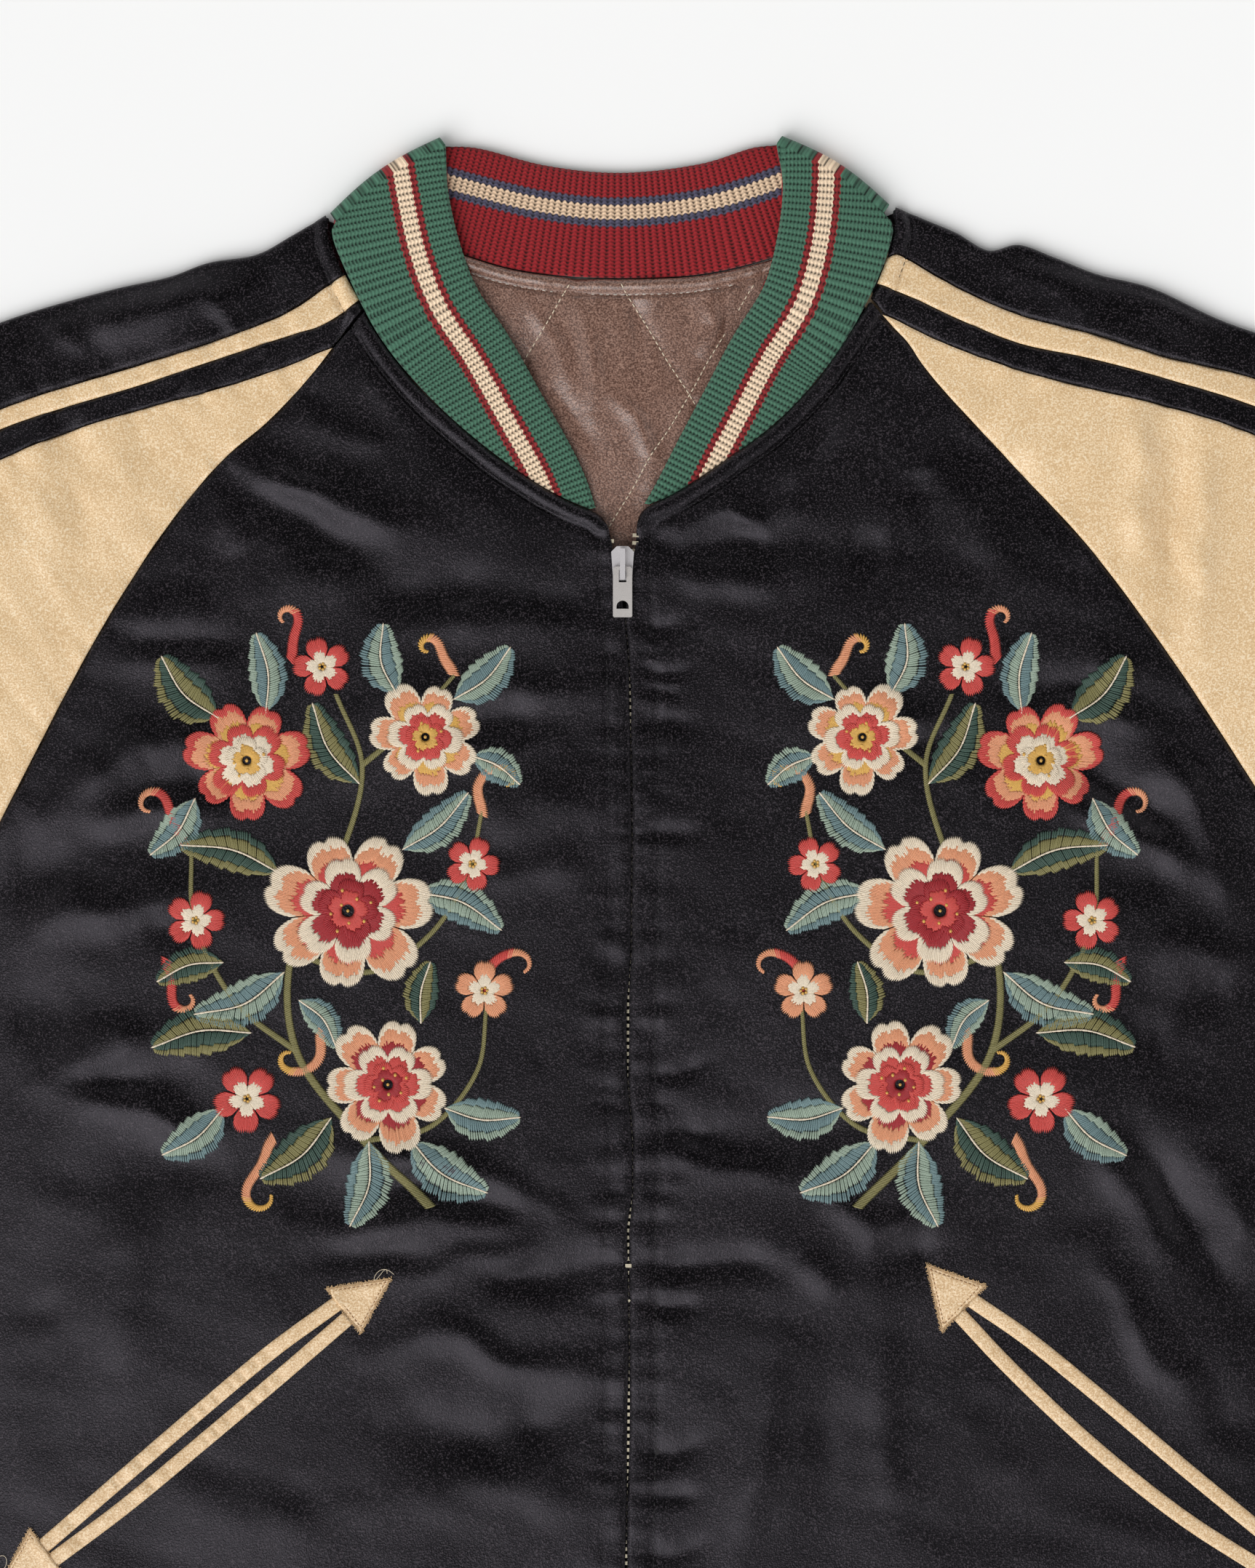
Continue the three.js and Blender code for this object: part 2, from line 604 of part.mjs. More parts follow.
// The panel over the top of the arm, folded round the outline from the front stripe to the back one.
function overarm(seams) {
  const top = seamPoints('shoulder', seams);
  const front = seamPoints('stripeTop', seams);
  const back = seamPoints('backStripeTop', seams);
  const outer = [];
  const inner = [];
  top.forEach((edge, i) => {
    const length = Math.hypot(edge[0] - front[i][0], edge[1] - front[i][1]);
    const out = [(edge[0] - front[i][0]) / length, (edge[1] - front[i][1]) / length];
    const turn = mix(edge, front[i], FOLD_RADIUS / length);
    const height = faceHeight(...turn);
    const outerRow = [];
    const innerRow = [];
    for (const share of shares(3, SEAM_GAP / length, 1)) {
      const [x, y] = mix(front[i], turn, share);
      outerRow.push(new THREE.Vector3(x, y, faceHeight(x, y)));
      innerRow.push(new THREE.Vector3(x, y, faceHeight(x, y) - SATIN_WALL));
    }
    for (const angle of [45, 0, -45].map(THREE.MathUtils.degToRad)) {
      const at = (radius, rise) => new THREE.Vector3(
        turn[0] + out[0] * radius * Math.cos(angle),
        turn[1] + out[1] * radius * Math.cos(angle),
        height / 2 + rise * Math.sin(angle),
      );
      outerRow.push(at(FOLD_RADIUS, height / 2));
      innerRow.push(at(FOLD_RADIUS - SATIN_WALL, height / 2 - SATIN_WALL));
    }
    const run = Math.hypot(back[i][0] - turn[0], back[i][1] - turn[1]);
    for (const share of shares(2, 0, 1 - SEAM_GAP / run)) {
      const [x, y] = mix(turn, back[i], share);
      outerRow.push(new THREE.Vector3(x, y, 0));
      innerRow.push(new THREE.Vector3(x, y, SATIN_WALL));
    }
    outer.push(outerRow);
    inner.push(innerRow);
  });
  return wall(outer, inner);
}

// The rib cuff is a flattened tube, ribbed on its upper side.
function cuff(seams) {
  const outside = seams.shoulder.at(-1);
  const inside = seams.underarm.at(-1);
  const span = Math.hypot(inside[0] - outside[0], inside[1] - outside[1]);
  const across = [(inside[0] - outside[0]) / span, (inside[1] - outside[1]) / span];
  const down = outside[0] < 0 ? [across[1], -across[0]] : [-across[1], across[0]];
  const margin = (span - CUFF_WIDTH) / 2;
  const radius = RIB_TUBE_HEIGHT / 2;
  const ribs = Math.round((CUFF_WIDTH - 2 * radius) / WIDE_RIB_PITCH);
  const profile = [];
  for (let k = 0; k <= 2 * ribs; k += 1) {
    const at = between(radius, CUFF_WIDTH - radius, k / (2 * ribs));
    const relief = k % 2 === 0 ? 0 : WIDE_RIB_RELIEF;
    const innerZ = RIB_TUBE_HEIGHT - DOUBLE_RIB_WALL;
    profile.push({ at, z: RIB_TUBE_HEIGHT + relief, innerAt: at, innerZ });
  }
  const bend = (centre, angle) => {
    const wrap = radius - DOUBLE_RIB_WALL;
    profile.push({
      at: centre + radius * Math.cos(angle),
      z: radius + radius * Math.sin(angle),
      innerAt: centre + wrap * Math.cos(angle),
      innerZ: radius + wrap * Math.sin(angle),
    });
  };
  for (const angle of [45, 0, -45].map(THREE.MathUtils.degToRad)) bend(CUFF_WIDTH - radius, angle);
  for (const share of shares(6)) {
    const at = between(CUFF_WIDTH - radius, radius, share);
    profile.push({ at, z: 0, innerAt: at, innerZ: DOUBLE_RIB_WALL });
  }
  for (const angle of [-135, 180, 135].map(THREE.MathUtils.degToRad)) bend(radius, angle);
  const place = (at, z, reach) => new THREE.Vector3(
    outside[0] + across[0] * (margin + at) + down[0] * reach,
    outside[1] + across[1] * (margin + at) + down[1] * reach,
    z,
  );
  const reaches = [RIB_START, CUFF_LENGTH];
  const outer = profile.map(({ at, z }) => reaches.map((reach) => place(at, z, reach)));
  const inner = profile.map(({ innerAt, innerZ }) => reaches.map((reach) => place(innerAt, innerZ, reach)));
  return wall(outer, inner, true);
}

// The black band between the stripe and the gold panel. Its lower edge runs down the raglan first.
function bandEdges(seams) {
  const first = STATIONS[1];
  const upper = along(seams.stripeLow, [0, first / 3, (2 * first) / 3, ...STATIONS.slice(1)]);
  return [upper, [...seams.bandEnd, ...seamPoints('goldTop', seams)]];
}

for (const side of ['right', 'left']) {
  const seams = SLEEVE_CURVES[side];
  const line = (name) => seamPoints(name, seams);
  const cut = (upper, lower, columns) => strip(line(upper), line(lower), columns);
  add(`sleeve_${side}_overarm`, overarm(seams), 'satin');
  add(`sleeve_${side}_front_stripe`, facePanel(cut('stripeTop', 'stripeLow', 1)), 'gold');
  add(`sleeve_${side}_front_band`, facePanel(strip(...bandEdges(seams), 1)), 'satin');
  add(`sleeve_${side}_front_panel`, facePanel(cut('goldTop', 'raglan', 7)), 'gold');
  add(`sleeve_${side}_back_stripe`, floorPanel(cut('backStripeTop', 'backStripeLow', 1)), 'gold');
  add(`sleeve_${side}_back_band`, floorPanel(cut('backStripeLow', 'backGoldTop', 1)), 'satin');
  add(`sleeve_${side}_back_panel`, floorPanel(cut('backGoldTop', 'backRaglan', 4)), 'gold');
  add(`cuff_${side}`, cuff(seams), 'green');
}

// Collar

// Cross lines of one rib of the collar from the right end at the zip, round both folds, to the left end.
function collarLines(radius, frontRibs, backRibs) {
  const folds = { right: collarFold('right'), left: collarFold('left') };
  const spread = (rows, ribbed, plainCount, z, side) => {
    const seams = curve(rows.map((row) => row.seam));
    const frees = curve(rows.map((row) => row.free));
    const mean = (seams.getLength() + frees.getLength()) / 2;
    const count = ribbed ? 2 * Math.round(mean / RIB_PITCH) : plainCount;
    return shares(count).map((share, k) => {
      const seam = seams.getPoint(share);
      const free = frees.getPoint(share);
      const lift = ribbed && k % 2 === 1 ? RIB_RELIEF : 0;
      return { seam: [seam.x, seam.y], free: [free.x, free.y], z, lift, side };
    });
  };
  const front = (side) => {
    const rows = [...COLLAR_FRONT[side], folds[side]];
    return spread(rows, frontRibs, 2 * rows.length, COLLAR_MIDDLE_HEIGHT + radius, 1);
  };
  const turn = (side, angles) => angles.map(THREE.MathUtils.degToRad).map((angle) => {
    const { seam, free, out } = folds[side];
    const reach = radius * Math.cos(angle);
    const move = (point) => [point[0] + out[0] * reach, point[1] + out[1] * reach];
    const z = COLLAR_MIDDLE_HEIGHT + radius * Math.sin(angle);
    return { seam: move(seam), free: move(free), z, lift: 0, angle, out };
  });
  return [
    ...front('right'),
    ...turn('right', [45, 0, -45]),
    ...spread(BACK_NECK_ROWS, backRibs, 18, COLLAR_MIDDLE_HEIGHT - radius, -1),
    ...turn('left', [-45, 0, 45]),
    ...front('left').reverse(),
  ];
}

// One rib as a wall. The rib that shows lies on the outside of the fold, the other one inside it.
function collarRib(radius, frontRibs, backRibs) {
  const lines = collarLines(radius, frontRibs, backRibs);
  const wrap = radius - RIB_WALL;
  const outer = [];
  const inner = [];
  for (const { seam, free, z, lift, side, angle, out } of lines) {
    const length = Math.hypot(free[0] - seam[0], free[1] - seam[1]);
    const ends = [mix(seam, free, SEAM_GAP / length), free];
    if (angle !== undefined) {
      const back = (wrap - radius) * Math.cos(angle);
      outer.push(ends.map(([x, y]) => new THREE.Vector3(x, y, z)));
      inner.push(ends.map(([x, y]) => new THREE.Vector3(
        x + out[0] * back,
        y + out[1] * back,
        COLLAR_MIDDLE_HEIGHT + wrap * Math.sin(angle),
      )));
    } else {
      const outerZ = side > 0 ? z + lift : z;
      const innerZ = side > 0 ? z - RIB_WALL : z + RIB_WALL + lift;
      outer.push(ends.map(([x, y]) => new THREE.Vector3(x, y, outerZ)));
      inner.push(ends.map(([x, y]) => new THREE.Vector3(x, y, innerZ)));
    }
  }
  return wall(outer, inner);
}

add('collar_outer_rib', collarRib(OUTER_RIB_RADIUS, true, false), 'green');
add('collar_inner_rib', collarRib(INNER_RIB_RADIUS, false, true), 'red');

// Lining that shows inside the neck

function liningHeight(x, y) {
  const rise = (y - QUILT_CROSSING.y) * QUILT_SLOPE;
  const toGrid = (value) => {
    const share = value / QUILT_PITCH;
    return Math.abs(share - Math.round(share)) * QUILT_PITCH;
  };
  const nearest = Math.min(toGrid(x - QUILT_CROSSING.x - rise), toGrid(x - QUILT_CROSSING.x + rise));
  return SATIN_WALL + LINING_GAP + LINING_WALL + QUILT_PUFF * (1 - Math.exp(-nearest / 9));
}

function liningGrid() {
  const top = shares(LINING_COLUMNS, LINING_ROWS[0].left, LINING_ROWS[0].right).map(belowNeck);
  const lowest = LINING_ROWS.at(-1).y;
  return shares(LINING_STEPS).map((rise) => top.map(([topX, topY], j) => {
    const y = between(lowest, topY, rise);
    const left = readTable(LINING_ROWS, 'left', y);
    const right = readTable(LINING_ROWS, 'right', y);
    const lift = THREE.MathUtils.smoothstep(y, 170, topY);
    return [between(between(left, right, j / LINING_COLUMNS), topX, lift), y];
  }));
}

const lining = liningGrid();
add('lining_back', wall(
  lifted(lining, liningHeight),
  lifted(lining, () => SATIN_WALL + LINING_GAP),
), 'taupe');

// Hem rib: one band from the zip round the right side, across the back and round the left side.

function hemRib() {
  const radius = RIB_TUBE_HEIGHT / 2;
  const wrap = radius - DOUBLE_RIB_WALL;
  const ends = [
    { y: HEM_SEAM_Y - RIB_START, right: -272, left: 284 },
    { y: HEM_END_Y, right: -264, left: 276 },
  ];
  const middle = SLIT.at(-1).x;
  const edge = { right: middle - TAPE_WIDTH - HEM_TO_TAPE, left: middle + TAPE_WIDTH + HEM_TO_TAPE };
  const outer = [];
  const inner = [];
  const line = (at, z, innerAt, innerZ) => {
    outer.push(ends.map((end) => new THREE.Vector3(at(end), end.y, z)));
    inner.push(ends.map((end) => new THREE.Vector3(innerAt(end), end.y, innerZ)));
  };
  const front = (side) => {
    const away = side === 'right' ? -1 : 1;
    const turn = (end) => end[side] - away * radius;
    const ribs = Math.round(Math.abs(turn(ends[0]) - edge[side]) / WIDE_RIB_PITCH);
    const rows = shares(2 * ribs).map((share, k) => ({ share, k }));
    if (side === 'left') rows.reverse();
    for (const { share, k } of rows) {
      const at = (end) => between(edge[side], turn(end), share);
      const relief = k % 2 === 1 ? WIDE_RIB_RELIEF : 0;
      line(at, RIB_TUBE_HEIGHT + relief, at, RIB_TUBE_HEIGHT - DOUBLE_RIB_WALL);
    }
  };
  const turn = (side, angles) => {
    const away = side === 'right' ? -1 : 1;
    for (const angle of angles.map(THREE.MathUtils.degToRad)) {
      const at = (size) => (end) => end[side] - away * radius + away * size * Math.cos(angle);
      line(at(radius), radius + radius * Math.sin(angle), at(wrap), radius + wrap * Math.sin(angle));
    }
  };
  front('right');
  turn('right', [45, 0, -45]);
  for (const share of shares(12)) {
    const at = (end) => between(end.right + radius, end.left - radius, share);
    line(at, 0, at, DOUBLE_RIB_WALL);
  }
  turn('left', [-45, 0, 45]);
  front('left');
  return wall(outer, inner);
}

add('hem_rib', hemRib(), 'green');

// Zip

function zipTape(away) {
  const below = SLIT.map(({ y }) => y).filter((y) => y < TAPE_START_Y);
  const grid = [TAPE_START_Y, ...below.slice(0, -1), HEM_END_Y + 2].map((y) => {
    const x = readTable(SLIT, 'x', y);
    return [[x + away * TEETH_ROOM, y], [x + away * (TEETH_ROOM + TAPE_WIDTH), y]];
  });
  return wall(lifted(grid, () => TAPE_TOP), lifted(grid, () => TAPE_TOP - TAPE_THICKNESS));
}

add('zip_tape_right', zipTape(-1), 'tape');
add('zip_tape_left', zipTape(1), 'tape');

const PLATE_TOP = ZIP_TOP + PLATE_GAP + PLATE_THICKNESS;
const PIVOT = { y: TAB_TOP_Y - TAB_BAR / 2, z: PLATE_TOP + PIVOT_CLEARANCE };

function outline(points) {
  return new THREE.Shape(points.map(([x, y]) => new THREE.Vector2(x, y)));
}

function extrude(shape, depth) {
  return new THREE.ExtrudeGeometry(shape, { depth, bevelEnabled: false, curveSegments: 8 });
}

// The slider's crown is a plate with cut corners on a stem between the teeth, over a lower plate,
// with the bail that holds the tab standing on the crown.
function slider() {
  const half = CROWN_WIDTH / 2;
  const leftHalf = [
    [-SLIDER_FOOT / 2, SLIDER_END_Y],
    [-half + CROWN_TAPER, SLIDER_END_Y + 1],
    [-half, CROWN_TOP_Y - CROWN_CUT],
    [-half + CROWN_CUT, CROWN_TOP_Y],
  ];
  const rightHalf = leftHalf.map(([x, y]) => [-x, y]).reverse();
  const shape = outline([...leftHalf, ...rightHalf].map(([x, y]) => [SLIDER_X + x, y]));
  const plate = (z0, z1) => solid(extrude(shape, z1 - z0).translate(0, 0, z0));
  const lowerTop = TAPE_TOP - TAPE_THICKNESS - 0.3;
  const block = (width, y0, y1, z0, z1) => {
    const side = width / 2;
    return solid(box(SLIDER_X - side, SLIDER_X + side, y0, y1, z0, z1));
  };
  const bailTop = PIVOT.z + PIVOT_CLEARANCE + BAIL_WALL;
  const upperFoot = CROWN_TOP_Y - BAIL_FOOT;
  const lowerFoot = SLIDER_END_Y + 0.1;
  return asGeometry(plate(PLATE_TOP - PLATE_THICKNESS, PLATE_TOP)
    .add(plate(lowerTop - LOWER_PLATE_THICKNESS, lowerTop))
    .add(block(STEM.width, STEM.low, STEM.high, lowerTop - 0.5, ZIP_TOP + 1))
    .add(block(BAIL_WIDTH, lowerFoot, upperFoot, bailTop - BAIL_WALL, bailTop))
    .add(block(BAIL_WIDTH, lowerFoot, lowerFoot + BAIL_FOOT, PLATE_TOP - 0.5, bailTop))
    .add(block(BAIL_WIDTH, upperFoot - BAIL_FOOT, upperFoot, PLATE_TOP - 0.5, bailTop)));
}

// The tab hangs by its upper bar in the bail. It has a slot round the bail and an arched hole near its end.
function pullTab() {
  const half = TAB_WIDTH / 2;
  const top = TAB_BAR / 2;
  const end = top - (TAB_TOP_Y - TAB_END_Y);
  const shape = outline([
    [-half + TAB_CORNER, top],
    [-half, top - TAB_CORNER],
    [-half, end + TAB_CORNER / 2],
    [-half + TAB_CORNER / 2, end],
    [half - TAB_CORNER / 2, end],
    [half, end + TAB_CORNER / 2],
    [half, top - TAB_CORNER],
    [half - TAB_CORNER, top],
  ]);
  const side = BAIL_WIDTH / 2 + TAB_SLOT.room;
  const slotEnd = -top - TAB_SLOT.length;
  const slot = outline([[-side, -top], [-side, slotEnd], [side, slotEnd], [side, -top]]);
  const { radius, sides, low } = TAB_HOLE;
  const sill = low - PIVOT.y;
  const hole = new THREE.Path();
  hole.moveTo(-radius, sill);
  hole.lineTo(radius, sill);
  hole.absarc(0, sill + sides, radius, 0, Math.PI, false);
  hole.closePath();
  shape.holes.push(slot, hole);
  const geometry = extrude(shape, TAB_THICKNESS)
    .translate(0, 0, -TAB_THICKNESS / 2)
    .rotateX(TAB_TILT)
    .translate(SLIDER_X, PIVOT.y, PIVOT.z);
  return asGeometry(solid(geometry));
}

add('zip_slider', slider(), 'metal');
add('zip_pull_tab', pullTab(), 'metal');

// Pockets, laid on the fronts' own facets

// The height of a front's faceted outer face at a point.
function facetHeight(side, x, y) {
  const grid = FRONT_GRIDS[side];
  for (let i = 0; i < grid.length - 1; i += 1) {
    for (let j = 0; j < grid[0].length - 1; j += 1) {
      const a = grid[i][j];
      const c = grid[i + 1][j + 1];
      for (const b of [grid[i + 1][j], grid[i][j + 1]]) {
        const area = (b[0] - a[0]) * (c[1] - a[1]) - (c[0] - a[0]) * (b[1] - a[1]);
        const v = ((x - a[0]) * (c[1] - a[1]) - (c[0] - a[0]) * (y - a[1])) / area;
        const w = ((b[0] - a[0]) * (y - a[1]) - (x - a[0]) * (b[1] - a[1])) / area;
        if (v >= 0 && w >= 0 && v + w <= 1) {
          return faceHeight(...a) * (1 - v - w) + faceHeight(...b) * v + faceHeight(...c) * w;
        }
      }
    }
  }
  return faceHeight(x, y);
}

function patch(side, grid) {
  const height = (x, y) => facetHeight(side, x, y) + PATCH_LIFT;
  return wall(lifted(grid, (x, y) => height(x, y) + PATCH_THICKNESS), lifted(grid, height));
}

function welt(side, points) {
  const line = curve(points);
  const reach = WELT_WIDTH / 2;
  return patch(side, shares(WELT_STEPS).map((share) => {
    const { x, y } = line.getPointAt(share);
    const run = line.getTangentAt(share);
    return [[x - run.y * reach, y + run.x * reach], [x + run.y * reach, y - run.x * reach]];
  }));
}

function arrow(side, [tip, baseA, baseB]) {
  const at = shares(ARROW_STEPS, ARROW_TIP, 1);
  return patch(side, at.map((share) => [mix(tip, baseA, share), mix(tip, baseB, share)]));
}

for (const side of ['right', 'left']) {
  const pocket = POCKET[side];
  add(`pocket_${side}_upper_welt`, welt(side, pocket.upper), 'gold');
  add(`pocket_${side}_lower_welt`, welt(side, pocket.lower), 'gold');
  add(`pocket_${side}_inner_arrow`, arrow(side, pocket.arrows[0]), 'gold');
  add(`pocket_${side}_outer_arrow`, arrow(side, pocket.arrows[1]), 'gold');
}

export default jacket;
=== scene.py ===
# %% [markdown]
# # A reversible souvenir jacket, laid flat
# The jacket lies on its back with the front up, zipped to the chest. Its cloth, ribs, zip and
# pockets were cut as solids beforehand. Here each of them gets a finer cloth of the same shape,
# with creases, ribs, stitches and thread, and a finish that reads as satin, knit or metal.
# Lengths are in millimetres, measured from the middle of the chest, until a mesh is made.

# %% Load the solids
import bpy
import numpy as np
from math import cos, pi, radians, sin, tan
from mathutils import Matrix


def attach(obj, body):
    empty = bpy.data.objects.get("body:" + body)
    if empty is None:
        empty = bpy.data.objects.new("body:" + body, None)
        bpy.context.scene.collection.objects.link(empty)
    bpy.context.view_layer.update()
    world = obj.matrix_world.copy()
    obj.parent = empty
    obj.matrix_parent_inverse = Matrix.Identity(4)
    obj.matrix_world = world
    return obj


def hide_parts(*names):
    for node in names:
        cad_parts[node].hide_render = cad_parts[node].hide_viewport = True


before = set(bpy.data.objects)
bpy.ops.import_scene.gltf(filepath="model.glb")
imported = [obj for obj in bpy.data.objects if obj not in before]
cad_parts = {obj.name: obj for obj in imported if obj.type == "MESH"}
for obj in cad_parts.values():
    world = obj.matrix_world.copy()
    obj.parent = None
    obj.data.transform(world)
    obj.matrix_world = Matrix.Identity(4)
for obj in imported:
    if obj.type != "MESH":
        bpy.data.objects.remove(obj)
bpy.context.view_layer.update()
CHEST = 83.25  # the chest's middle lies this far above the jacket's own middle

# %% [markdown]
# ## Camera
# The jacket was seen from straight above. A long lens keeps it free of distortion, so one
# distance fits everywhere: the 36 mm side of the film spans 668 mm of jacket.

# %% Camera
FRAME_HEIGHT = 668.4
LENS = 80
FILM = 36
JACKET_TOP = 10

def new_object(name, data):
    """A new object of the scene, with its data at the origin."""
    made = bpy.data.objects.new(name, data)
    bpy.context.scene.collection.objects.link(made)
    return made

camera = new_object("camera", bpy.data.cameras.new("camera"))
camera.data.lens = LENS
camera.data.sensor_width = FILM
camera.location = (0, CHEST / 1000, (FRAME_HEIGHT * LENS / FILM + JACKET_TOP) / 1000)
camera.data.clip_end = 50
bpy.context.scene.camera = camera
print("camera height", round(camera.location.z, 3), "m")

# %% [markdown]
# ## The pattern
# A jacket starts as lines: seams, edges and folds. These are the same lines as in the solids.
# "Right" is the wearer's right, which is on the left of the picture.

# %% Sizes of the cloth
SATIN_WALL = 2.0
RIB_WALL = 2.2
DOUBLE_RIB_WALL = 4.4
SEAM_GAP = 0.2
NECK_GAP = 0.6
FOLD_RADIUS = 2.3
EDGE_HEIGHT = 4.6
PUFF = 6.0
PUFF_REACH = 30
ZIP_TOP = EDGE_HEIGHT + PUFF
COLLAR_MIDDLE_HEIGHT = 4.85
OUTER_RIB_RADIUS = 4.85
INNER_RIB_RADIUS = 2.35
RIB_PITCH = 2.6
RIB_TUBE_HEIGHT = 9.4
HEM_SEAM_Y = -378.6
HEM_END_Y = -443.6
CUFF_LENGTH = 70
CUFF_WIDTH = 97
ARMPIT_Y = -52
SIDES = ("right", "left")
AWAY = {"right": -1, "left": 1}  # the way along x from the zip to each side
ZIP_STITCHES = {"right": 9.6, "left": 11.6}  # from the zip's middle to the row beside it

# %% Lines of the fronts and the collar, as (y, x) or as (seam point, free edge point)
SLIT = [
    (120, -1.4), (90, -2.0), (70, -0.9), (50, 0.8), (20, 1.4),
    (-20, 2.0), (-72, 1.5), (-93, 0.2), (-125, 0.1), (-152, 2.2),
    (-174, 2.2), (-190, 0.2), (-240, 0.8), (-280, 0.3), (-330, -0.6),
    (HEM_SEAM_Y, -0.2), (HEM_END_Y, 0),
]
NECK_TO_ZIP = {
    "right": [
        (200.4, -111.8), (198.6, -110.9), (190.7, -106.1), (177.9, -96.6), (165.2, -85.1),
        (156.2, -75.5), (145.7, -63.4), (138.0, -53.8), (131.4, -43.9), (124.6, -33.0),
        (119.0, -22.2), (116.3, -14.6), (113.2, -10.1), (108.2, -7.6), (102.3, -6.4),
        (89.0, -3.4),
    ],
    "left": [
        (204.4, 102.6), (198.6, 98.6), (190.0, 93.4), (182.0, 87.8), (173.0, 81.4),
        (162.1, 71.5), (153.8, 63.1), (146.3, 53.5), (140.4, 44.8), (134.2, 36.4),
        (127.1, 25.6), (122.1, 16.9), (119.0, 9.8), (115.6, 5.4), (109.4, 3.6),
        (102.3, 3.4), (89.0, -0.6),
    ],
}
SIDE_SEAM = {"right": (-286.0, -276.0), "left": (298.0, 288.0)}
COLLAR_FRONT = {
    "right": [
        ((-16.4, 117.2), (-13.6, 117.9)),
        ((-29.0, 122.7), (-17.2, 129.0)),
        ((-43.0, 130.8), (-22.2, 140.4)),
        ((-67.0, 148.8), (-36.7, 166.5)),
        ((-87.5, 168.1), (-50.7, 191.3)),
        ((-105.0, 189.4), (-64.6, 212.7)),
        ((-118.4, 214.6), (-71.8, 231.9)),
        ((-126.2, 235.6), (-76.4, 252.7)),
    ],
    "left": [
        ((9.4, 119.2), (7.2, 119.6)),
        ((19.0, 123.3), (11.5, 127.0)),
        ((38.0, 135.4), (20.6, 144.8)),
        ((62.0, 152.9), (32.7, 167.7)),
        ((79.6, 170.9), (44.8, 190.7)),
        ((96.4, 194.6), (58.1, 212.7)),
        ((111.0, 226.0), (64.0, 234.4)),
        ((113.1, 238.6), (66.2, 256.1)),
    ],
}
COLLAR_FOLD = {
    "right": ((-127.3, 244.0), (-80.4, 276.5)),
    "left": ((112.1, 247.7), (66.2, 277.1)),
}
COLLAR_BACK = [
    ((-85.0, 231.0), (-66.0, 272.4)),
    ((-46.3, 219.8), (-34.9, 264.7)),
    ((-3.9, 216.4), (-3.9, 261.6)),
    ((36.0, 218.8), (32.0, 265.6)),
    ((75.0, 229.6), (54.7, 272.5)),
]
LINING_ROWS = [
    (200, -104, 96),
    (175, -94, 88),
    (150, -78, 76),
    (125, -58, 58),
    (100, -40, 38),
]
POCKET = {
    "right": {
        "upper": [(-126, -223), (-150, -240.4), (-180, -265.4), (-215, -295.6), (-248.2, -324.4)],
        "lower": [(-122.5, -230.5), (-150, -254.2), (-180, -279.5), (-215, -308.6), (-243.5, -330)],
        "arrows": [
            [(-100.6, -210.5), (-128.2, -214.8), (-113.6, -234.1)],
            [(-267.8, -341.3), (-255.0, -317.8), (-240.1, -337.3)],
        ],
    },
    "left": {
        "upper": [(150.6, -222.6), (170, -236), (200, -260.2), (240, -294), (280, -327)],
        "lower": [(144.6, -229.6), (160, -246), (195, -279.4), (235, -311.6), (273, -336.5)],
        "arrows": [
            [(127.3, -204.6), (152.7, -213.6), (133.8, -233.4)],
            [(293, -352), (283.8, -324.8), (268.4, -346.6)],
        ],
    },
}
print("front edge points:", {side: len(rows) for side, rows in NECK_TO_ZIP.items()})

# %% Curves
def travelled(points):
    """How far along a line of points each of them lies."""
    steps = np.linalg.norm(np.diff(points, axis=0), axis=1)
    return np.concatenate([[0], np.cumsum(steps)])

def directions(line):
    """The way a line runs at each of its points, as arrows 1 long."""
    run = np.gradient(line, axis=0)
    return run / np.linalg.norm(run, axis=1)[:, None]

def square_to(way):
    """Arrows turned a quarter to the left."""
    return np.column_stack([-way[:, 1], way[:, 0]])

def smooth(points, shares):
    """Points at shares of the length of a smooth curve through the given points."""
    points = np.array(points, float)
    ends = np.vstack([2 * points[0] - points[1], points, 2 * points[-1] - points[-2]])
    dense = []
    for k in range(len(points) - 1):
        a, b, c, d = ends[k:k + 4]
        t0 = 0.0
        t1 = t0 + np.linalg.norm(b - a) ** 0.5
        t2 = t1 + np.linalg.norm(c - b) ** 0.5
        t3 = t2 + np.linalg.norm(d - c) ** 0.5
        t = np.linspace(t1, t2, 41)[:, None]
        ab = (t1 - t) / (t1 - t0) * a + (t - t0) / (t1 - t0) * b
        bc = (t2 - t) / (t2 - t1) * b + (t - t1) / (t2 - t1) * c
        cd = (t3 - t) / (t3 - t2) * c + (t - t2) / (t3 - t2) * d
        abc = (t2 - t) / (t2 - t0) * ab + (t - t0) / (t2 - t0) * bc
        bcd = (t3 - t) / (t3 - t1) * bc + (t - t1) / (t3 - t1) * cd
        piece = (t2 - t) / (t2 - t1) * abc + (t - t1) / (t2 - t1) * bcd
        dense.append(piece if k == 0 else piece[1:])
    dense = np.vstack(dense)
    length = travelled(dense)
    at = np.asarray(shares, float) * length[-1]
    return np.column_stack([np.interp(at, length, dense[:, axis]) for axis in range(2)])

def path_length(points):
    """The length of a line of points."""
    return float(np.linalg.norm(np.diff(np.asarray(points, float), axis=0), axis=1).sum())

